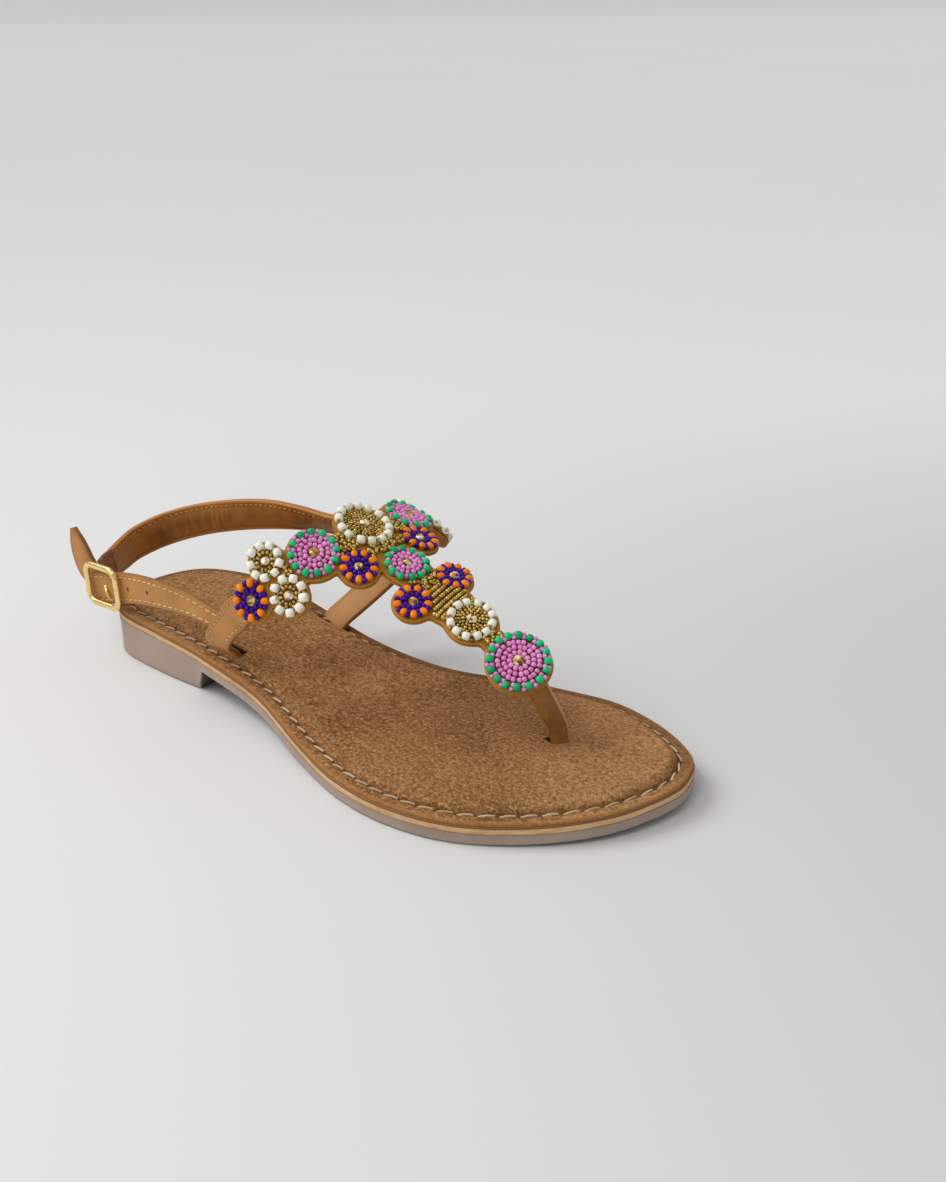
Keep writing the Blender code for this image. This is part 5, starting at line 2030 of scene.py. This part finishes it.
bead_tree, bead_names = build_bead_tree()
BEAD_INPUTS = {f"{kind} shape": BEAD_SHAPES[kind] for kind in KINDS}
BEAD_INPUTS.update({f"{kind} finish": BEAD_MATERIALS[kind] for kind in KINDS})
SIZE_SLACK = 0.035


class BeadBed:
    """Collects the points that one piece of beadwork is grown from."""

    def __init__(self):
        self.rows = []

    def sew(self, along, across, height, thread_angle, kind, size=1.0, tilt=0.06):
        """One bead at a spot of the T. thread_angle is counted from the toe towards the inner side."""
        place, normal, toe, sideways = (rows[0] for rows in surface.frame(along, across))
        heading = math.cos(thread_angle) * toe + math.sin(thread_angle) * sideways
        normal = normal + tilt * (rng.normal() * toe + rng.normal() * sideways)
        size = size * (1.0 + SIZE_SLACK * rng.normal())
        self.rows.append((place + height * normal, normal, heading, KINDS.index(kind), (size, size, size)))

    def grow(self, name, slot, *nodes):
        points, facing, heading, kinds, sizes = (np.array(column) for column in zip(*self.rows))
        source = carrier(name + "_points", points, [], facing=facing, heading=heading, kind=kinds, size=sizes)
        made = grown(name, source, bead_tree, bead_names, **BEAD_INPUTS)
        return dress(made, slot, *nodes)


print("bead tree nodes:", len(bead_tree.nodes))

# %% [markdown]
# ### Medallions
#
# A table gives each kind of medallion its rings from the stone outwards: radius, how many beads, which bead,
# whether its thread runs round the ring or out from the middle, and how far it is raised. The beads of a ring
# are never quite even, so each gets a small shift.

# %% Medallions
ROUND = "round"
OUT = "outwards"
# Radius, count, bead, way of the thread, height, size, turn in steps
RINGS = {
    "toe": (
        (3.0, 11, "pink", ROUND, 0.0, 1.0, 0.0),
        (4.85, 17, "pink", ROUND, 0.0, 1.0, 0.3),
        (6.75, 24, "pink", ROUND, 0.0, 1.0, 0.1),
        (9.3, 16, "green", ROUND, 0.15, 1.0, 0.0),
        (8.6, 16, "pink", OUT, 0.0, 0.95, 0.5),
        (10.0, 16, "pink", OUT, -0.1, 0.9, 0.5),
    ),
    "centre": (
        (2.6, 10, "pink", ROUND, 0.0, 1.0, 0.0),
        (4.4, 15, "pink", ROUND, 0.0, 1.0, 0.4),
        (6.3, 12, "pink", OUT, 0.0, 0.92, 0.5),
        (6.65, 12, "green", ROUND, 0.15, 0.96, 0.0),
    ),
    "shoulder": (
        (2.85, 11, "pink", ROUND, 0.0, 1.0, 0.0),
        (4.7, 17, "pink", ROUND, 0.0, 1.0, 0.4),
        (6.1, 12, "pink", OUT, -0.1, 0.9, 0.0),
        (7.5, 12, "green", ROUND, 0.15, 1.0, 0.0),
        (6.6, 12, "pink", OUT, 0.0, 0.95, 0.5),
        (8.1, 12, "pink", OUT, -0.05, 0.9, 0.5),
    ),
    "throat": (
        (2.65, 10, "purple", ROUND, 0.0, 0.95, 0.0),
        (4.0, 9, "purple", OUT, 0.0, 0.95, 0.5),
        (5.5, 9, "purple", OUT, -0.05, 0.95, 0.5),
        (5.0, 9, "orange", OUT, 0.15, 1.0, 0.0),
    ),
    "inner": (
        (2.7, 10, "purple", ROUND, 0.0, 0.97, 0.0),
        (4.1, 9, "purple", OUT, 0.0, 0.97, 0.5),
        (5.6, 9, "purple", OUT, -0.05, 0.95, 0.5),
        (5.1, 9, "orange", OUT, 0.15, 1.0, 0.0),
    ),
    "end": (
        (2.7, 9, "purple", ROUND, 0.0, 1.0, 0.0),
        (4.0, 8, "purple", OUT, 0.0, 1.0, 0.5),
        (5.5, 8, "purple", OUT, -0.05, 1.0, 0.5),
        (5.1, 8, "orange", OUT, 0.15, 1.0, 0.0),
    ),
    "shaft": (
        (2.7, 13, "gold", ROUND, -0.2, 1.05, 0.0),
        (3.85, 18, "gold", ROUND, -0.2, 1.05, 0.3),
        (5.0, 24, "gold", ROUND, -0.25, 1.05, 0.1),
        (6.4, 12, "gold", OUT, -0.3, 1.15, 0.5),
        (6.9, 12, "white", ROUND, 0.15, 0.95, 0.0),
        (7.9, 12, "gold", OUT, -0.35, 1.15, 0.5),
    ),
    "top": (
        (2.3, 12, "gold", ROUND, -0.25, 0.95, 0.0),
        (3.3, 17, "gold", ROUND, -0.15, 0.95, 0.3),
        (4.3, 22, "gold", ROUND, -0.25, 0.95, 0.1),
        (5.3, 27, "gold", ROUND, -0.15, 0.95, 0.3),
        (6.3, 32, "gold", ROUND, -0.3, 0.95, 0.0),
        (7.2, 36, "gold", ROUND, -0.3, 0.95, 0.2),
        (8.75, 14, "white", ROUND, 0.15, 1.0, 0.0),
        (8.2, 14, "gold", OUT, -0.3, 1.1, 0.5),
        (9.5, 14, "gold", OUT, -0.3, 1.1, 0.5),
    ),
    "front": (
        (2.75, 12, "gold", ROUND, -0.1, 1.15, 0.0),
        (3.75, 9, "gold", OUT, -0.25, 1.05, 0.5),
        (5.25, 9, "white", OUT, 0.15, 1.03, 0.0),
        (5.2, 9, "gold", OUT, -0.35, 1.05, 0.5),
    ),
    "back": (
        (2.65, 12, "gold", ROUND, -0.1, 1.15, 0.0),
        (3.6, 9, "gold", OUT, -0.25, 1.05, 0.5),
        (5.05, 9, "white", ROUND, 0.15, 1.0, 0.0),
        (5.0, 9, "gold", OUT, -0.35, 1.05, 0.5),
    ),
}
STONE_OF = {"front": "clear", "back": "clear"}
STONE_SIZE = {"toe": 1.2, "shoulder": 1.1, "shaft": 1.1, "front": 1.05}
SLOTS = {
    "pink_green_beads": ("toe", "centre", "shoulder"),
    "orange_purple_beads": ("throat", "inner", "end"),
    "white_gold_beads": ("shaft", "top", "front", "back"),
}
SLOT_OF = {kind: slot for slot, kinds in SLOTS.items() for kind in kinds}
STONE_HEIGHT = -0.05
RING_SLACK = 0.09
ANGLE_SLACK = 0.25 * RING_SLACK
HEIGHT_SLACK = 0.05
THREAD_SLACK = 0.1


def make_medallion(name, kind, along, across):
    bed = BeadBed()
    mirror = -1.0 if across > 0.0 else 1.0
    stone = STONE_OF.get(kind, "amber")
    bed.sew(along, across, STONE_HEIGHT, rng.uniform(0.0, 1.0), stone, STONE_SIZE.get(kind, 1.0))
    for radius, count, bead, way, height, size, turn in RINGS[kind]:
        for step in range(count):
            angle = mirror * 2.0 * math.pi * (step + turn) / count + rng.normal() * ANGLE_SLACK
            reach = radius + rng.normal() * RING_SLACK
            thread = angle + (math.pi / 2.0 if way == ROUND else 0.0)
            spot = (along + reach * math.cos(angle), across + reach * math.sin(angle))
            height_here = height + HEIGHT_SLACK * rng.normal()
            bed.sew(*spot, height_here, thread + THREAD_SLACK * rng.normal(), bead, size)
    return bed.grow(name.replace("medallion", "beads"), SLOT_OF[kind], name)


bead_faces = 0
for name, kind, along, across, _ in places:
    bead_faces += len(make_medallion(name, kind, along, across).data.polygons)
print("medallion faces:", bead_faces)

# %% [markdown]
# ### Rows and gap filling
#
# Across the shaft lie six slanting rows of gold seed beads, the longest near the shaft's medallion. Single
# gold beads fill the gaps that the medallions leave inside the outline. A grid of spots is thinned to those
# that lie well inside the leather and clear of every medallion and row.

# %% Gold rows and fill
# Along at the middle, half length across
GOLD_ROWS = ((35.2, 2.2), (37.0, 3.0), (39.0, 4.4), (41.0, 6.2), (43.0, 7.0), (44.8, 6.4))
ROW_BEAD_PITCH = 1.0
ROW_SLANT = -0.12
ROW_HEIGHT = -0.25
ROW_SIZE = 1.2
ROW_TILT = 0.03
FILL_REACH = ((-20.0, 90.0), (-60.0, 60.0))
FILL_PITCH = 1.25
FILL_INSIDE = 1.2
FILL_CLEAR = 0.6
FILL_BESIDE = 1.2
FILL_SCATTER = 0.3
FILL_HEIGHT = -0.35
FILL_SIZE = 1.15
FILL_TILT = 0.3


def make_gold_beads():
    bed = BeadBed()
    for along, half in GOLD_ROWS:
        count = int(2.0 * half / ROW_BEAD_PITCH)
        for across in np.linspace(-half, half, count + 1):
            spot = (along + ROW_SLANT * across, across)
            bed.sew(*spot, ROW_HEIGHT, math.pi / 2.0 + ROW_SLANT, "gold", ROW_SIZE, ROW_TILT)
    reach = np.array([place[2:] for place in places])
    rows = np.array(GOLD_ROWS)
    for a in np.arange(*FILL_REACH[0], FILL_PITCH):
        for b in np.arange(*FILL_REACH[1], FILL_PITCH):
            spot = np.array([a, b]) + FILL_SCATTER * rng.normal(size=2)
            inside = -base_distance(spot[None, 0], spot[None, 1])[0]
            clear = np.min(np.hypot(reach[:, 0] - spot[0], reach[:, 1] - spot[1]) - reach[:, 2])
            past_end = np.maximum(np.abs(spot[1]) - rows[:, 1], 0.0)
            beside = np.min(np.abs(rows[:, 0] - spot[0]) + 2.0 * past_end)
            if inside > FILL_INSIDE and clear > FILL_CLEAR and beside > FILL_BESIDE:
                bed.sew(*spot, FILL_HEIGHT, rng.uniform(0.0, math.pi), "gold", FILL_SIZE, FILL_TILT)
    return bed.grow("gold_bead_rows", "gold_beads", "bead_rows")


gold_beads = make_gold_beads()
for shape in BEAD_SHAPES.values():
    bpy.data.objects.remove(shape)
print("gold fill faces:", len(gold_beads.data.polygons))

# %% [markdown]
# ## Floor and light
#
# A pale floor runs up behind the shoe in a soft curve, as in a photographer's sweep; near the shoe it is
# painted a little greyer to the right, as painted shade where the light falls off. Broad light falls from the
# left. A window and a small lamp on the near side put highlights on beads and metal, and the pale room keeps
# the shadows open.

# %% Floor
FLOOR_FRONT = -3.0
FLOOR_BACK = 9.0
SWEEP_RADIUS = 3.0
SWEEP_STEPS = 24
SWEEP_HEIGHT = 6.0
FLOOR_WIDTH = 16.0


def paper_finish(side, forward):
    """Pale paper with painted shade: a little greyer on the right of the shoe than on its left, where the
    light falls off.
    """
    paper = Finish("paper", roughness=0.7, specular=0.1)

    def reach(way):
        return paper.step("ShaderNodeVectorMath", {0: paper.place, 1: way}, "Value", operation="DOT_PRODUCT")

    plain = paper.mix(paper.noise(paper.place, 2.0, 2.0), srgb(237, 237, 237), srgb(241, 241, 240))
    # Painted shade: the paper near the shoe greys towards the right, as the light falls off.
    right = paper.mix(paper.band(reach(side), -0.15, 0.4), plain, srgb(208, 208, 207))
    near = paper.band(reach(forward), 0.35, -0.1)
    paper.set("Base Color", paper.mix(near, plain, right))
    return paper.material


def make_floor():
    """A strip of paper: a long flat floor, then a wide sweep up to a wall, square on to the camera."""
    forward = Vector((CAMERA_FORWARD.x, CAMERA_FORWARD.y, 0.0)).normalized()
    side = Vector((forward.y, -forward.x, 0.0))
    profile = [(FLOOR_FRONT, 0.0), (FLOOR_BACK - SWEEP_RADIUS, 0.0)]
    for step in range(1, SWEEP_STEPS + 1):
        angle = math.radians(90.0) * step / SWEEP_STEPS
        run = FLOOR_BACK - SWEEP_RADIUS + SWEEP_RADIUS * math.sin(angle)
        profile.append((run, SWEEP_RADIUS * (1.0 - math.cos(angle))))
    profile.append((FLOOR_BACK, SWEEP_HEIGHT))
    points = []
    for run, height in profile:
        for share in (-0.5, 0.5):
            spot = forward * run + side * share * FLOOR_WIDTH
            points.append((spot.x, spot.y, height))
    faces = [(2 * i, 2 * i + 1, 2 * i + 3, 2 * i + 2) for i in range(len(profile) - 1)]
    mesh = bpy.data.meshes.new("floor")
    mesh.from_pydata(points, [], faces)
    mesh.shade_smooth()
    mesh.materials.append(paper_finish(side, forward))
    floor = linked("floor", mesh)
    return floor


floor = make_floor()
print("floor faces:", len(floor.data.polygons))

# %% Lights
SHOE_MIDDLE = Vector((0.09, 0.0, 0.02))
ROOM_COLOUR = (0.98, 0.99, 1.0, 1.0)
ROOM_STRENGTH = 0.5


def aimed(name, light, place):
    """A light that stands at a place and points at the shoe."""
    lamp = linked(name, light)
    lamp.location = place
    lamp.rotation_mode = "QUATERNION"
    lamp.rotation_quaternion = (SHOE_MIDDLE - Vector(place)).to_track_quat("-Z", "Y")
    return lamp


def add_area(name, place, size, power, colour):
    light = bpy.data.lights.new(name, "AREA")
    light.shape = "RECTANGLE"
    light.size, light.size_y = size
    light.energy = power
    light.color = colour
    return aimed(name, light, place)


def add_sun(name, place, strength, spread):
    """Even light from one side over the whole floor, softened by a wide spread in degrees."""
    light = bpy.data.lights.new(name, "SUN")
    light.energy = strength
    light.angle = math.radians(spread)
    return aimed(name, light, place)


add_sun("sky_light", (-1.2, -0.5, 1.5), strength=1.15, spread=32.0)
add_area("window", (-0.35, -0.8, 0.62), size=(0.7, 0.6), power=1.6, colour=(1.0, 0.985, 0.96))
add_area("lamp", (0.15, -0.55, 0.95), size=(0.2, 0.2), power=1.2, colour=(1.0, 0.98, 0.95))
world = bpy.data.worlds.new("studio")
bpy.context.scene.world = world
world.use_nodes = True
backdrop = world.node_tree.nodes["Background"]
backdrop.inputs["Color"].default_value = ROOM_COLOUR
backdrop.inputs["Strength"].default_value = ROOM_STRENGTH
bpy.context.scene.view_settings.view_transform = "Standard"
print("lights:", len(bpy.data.lights))
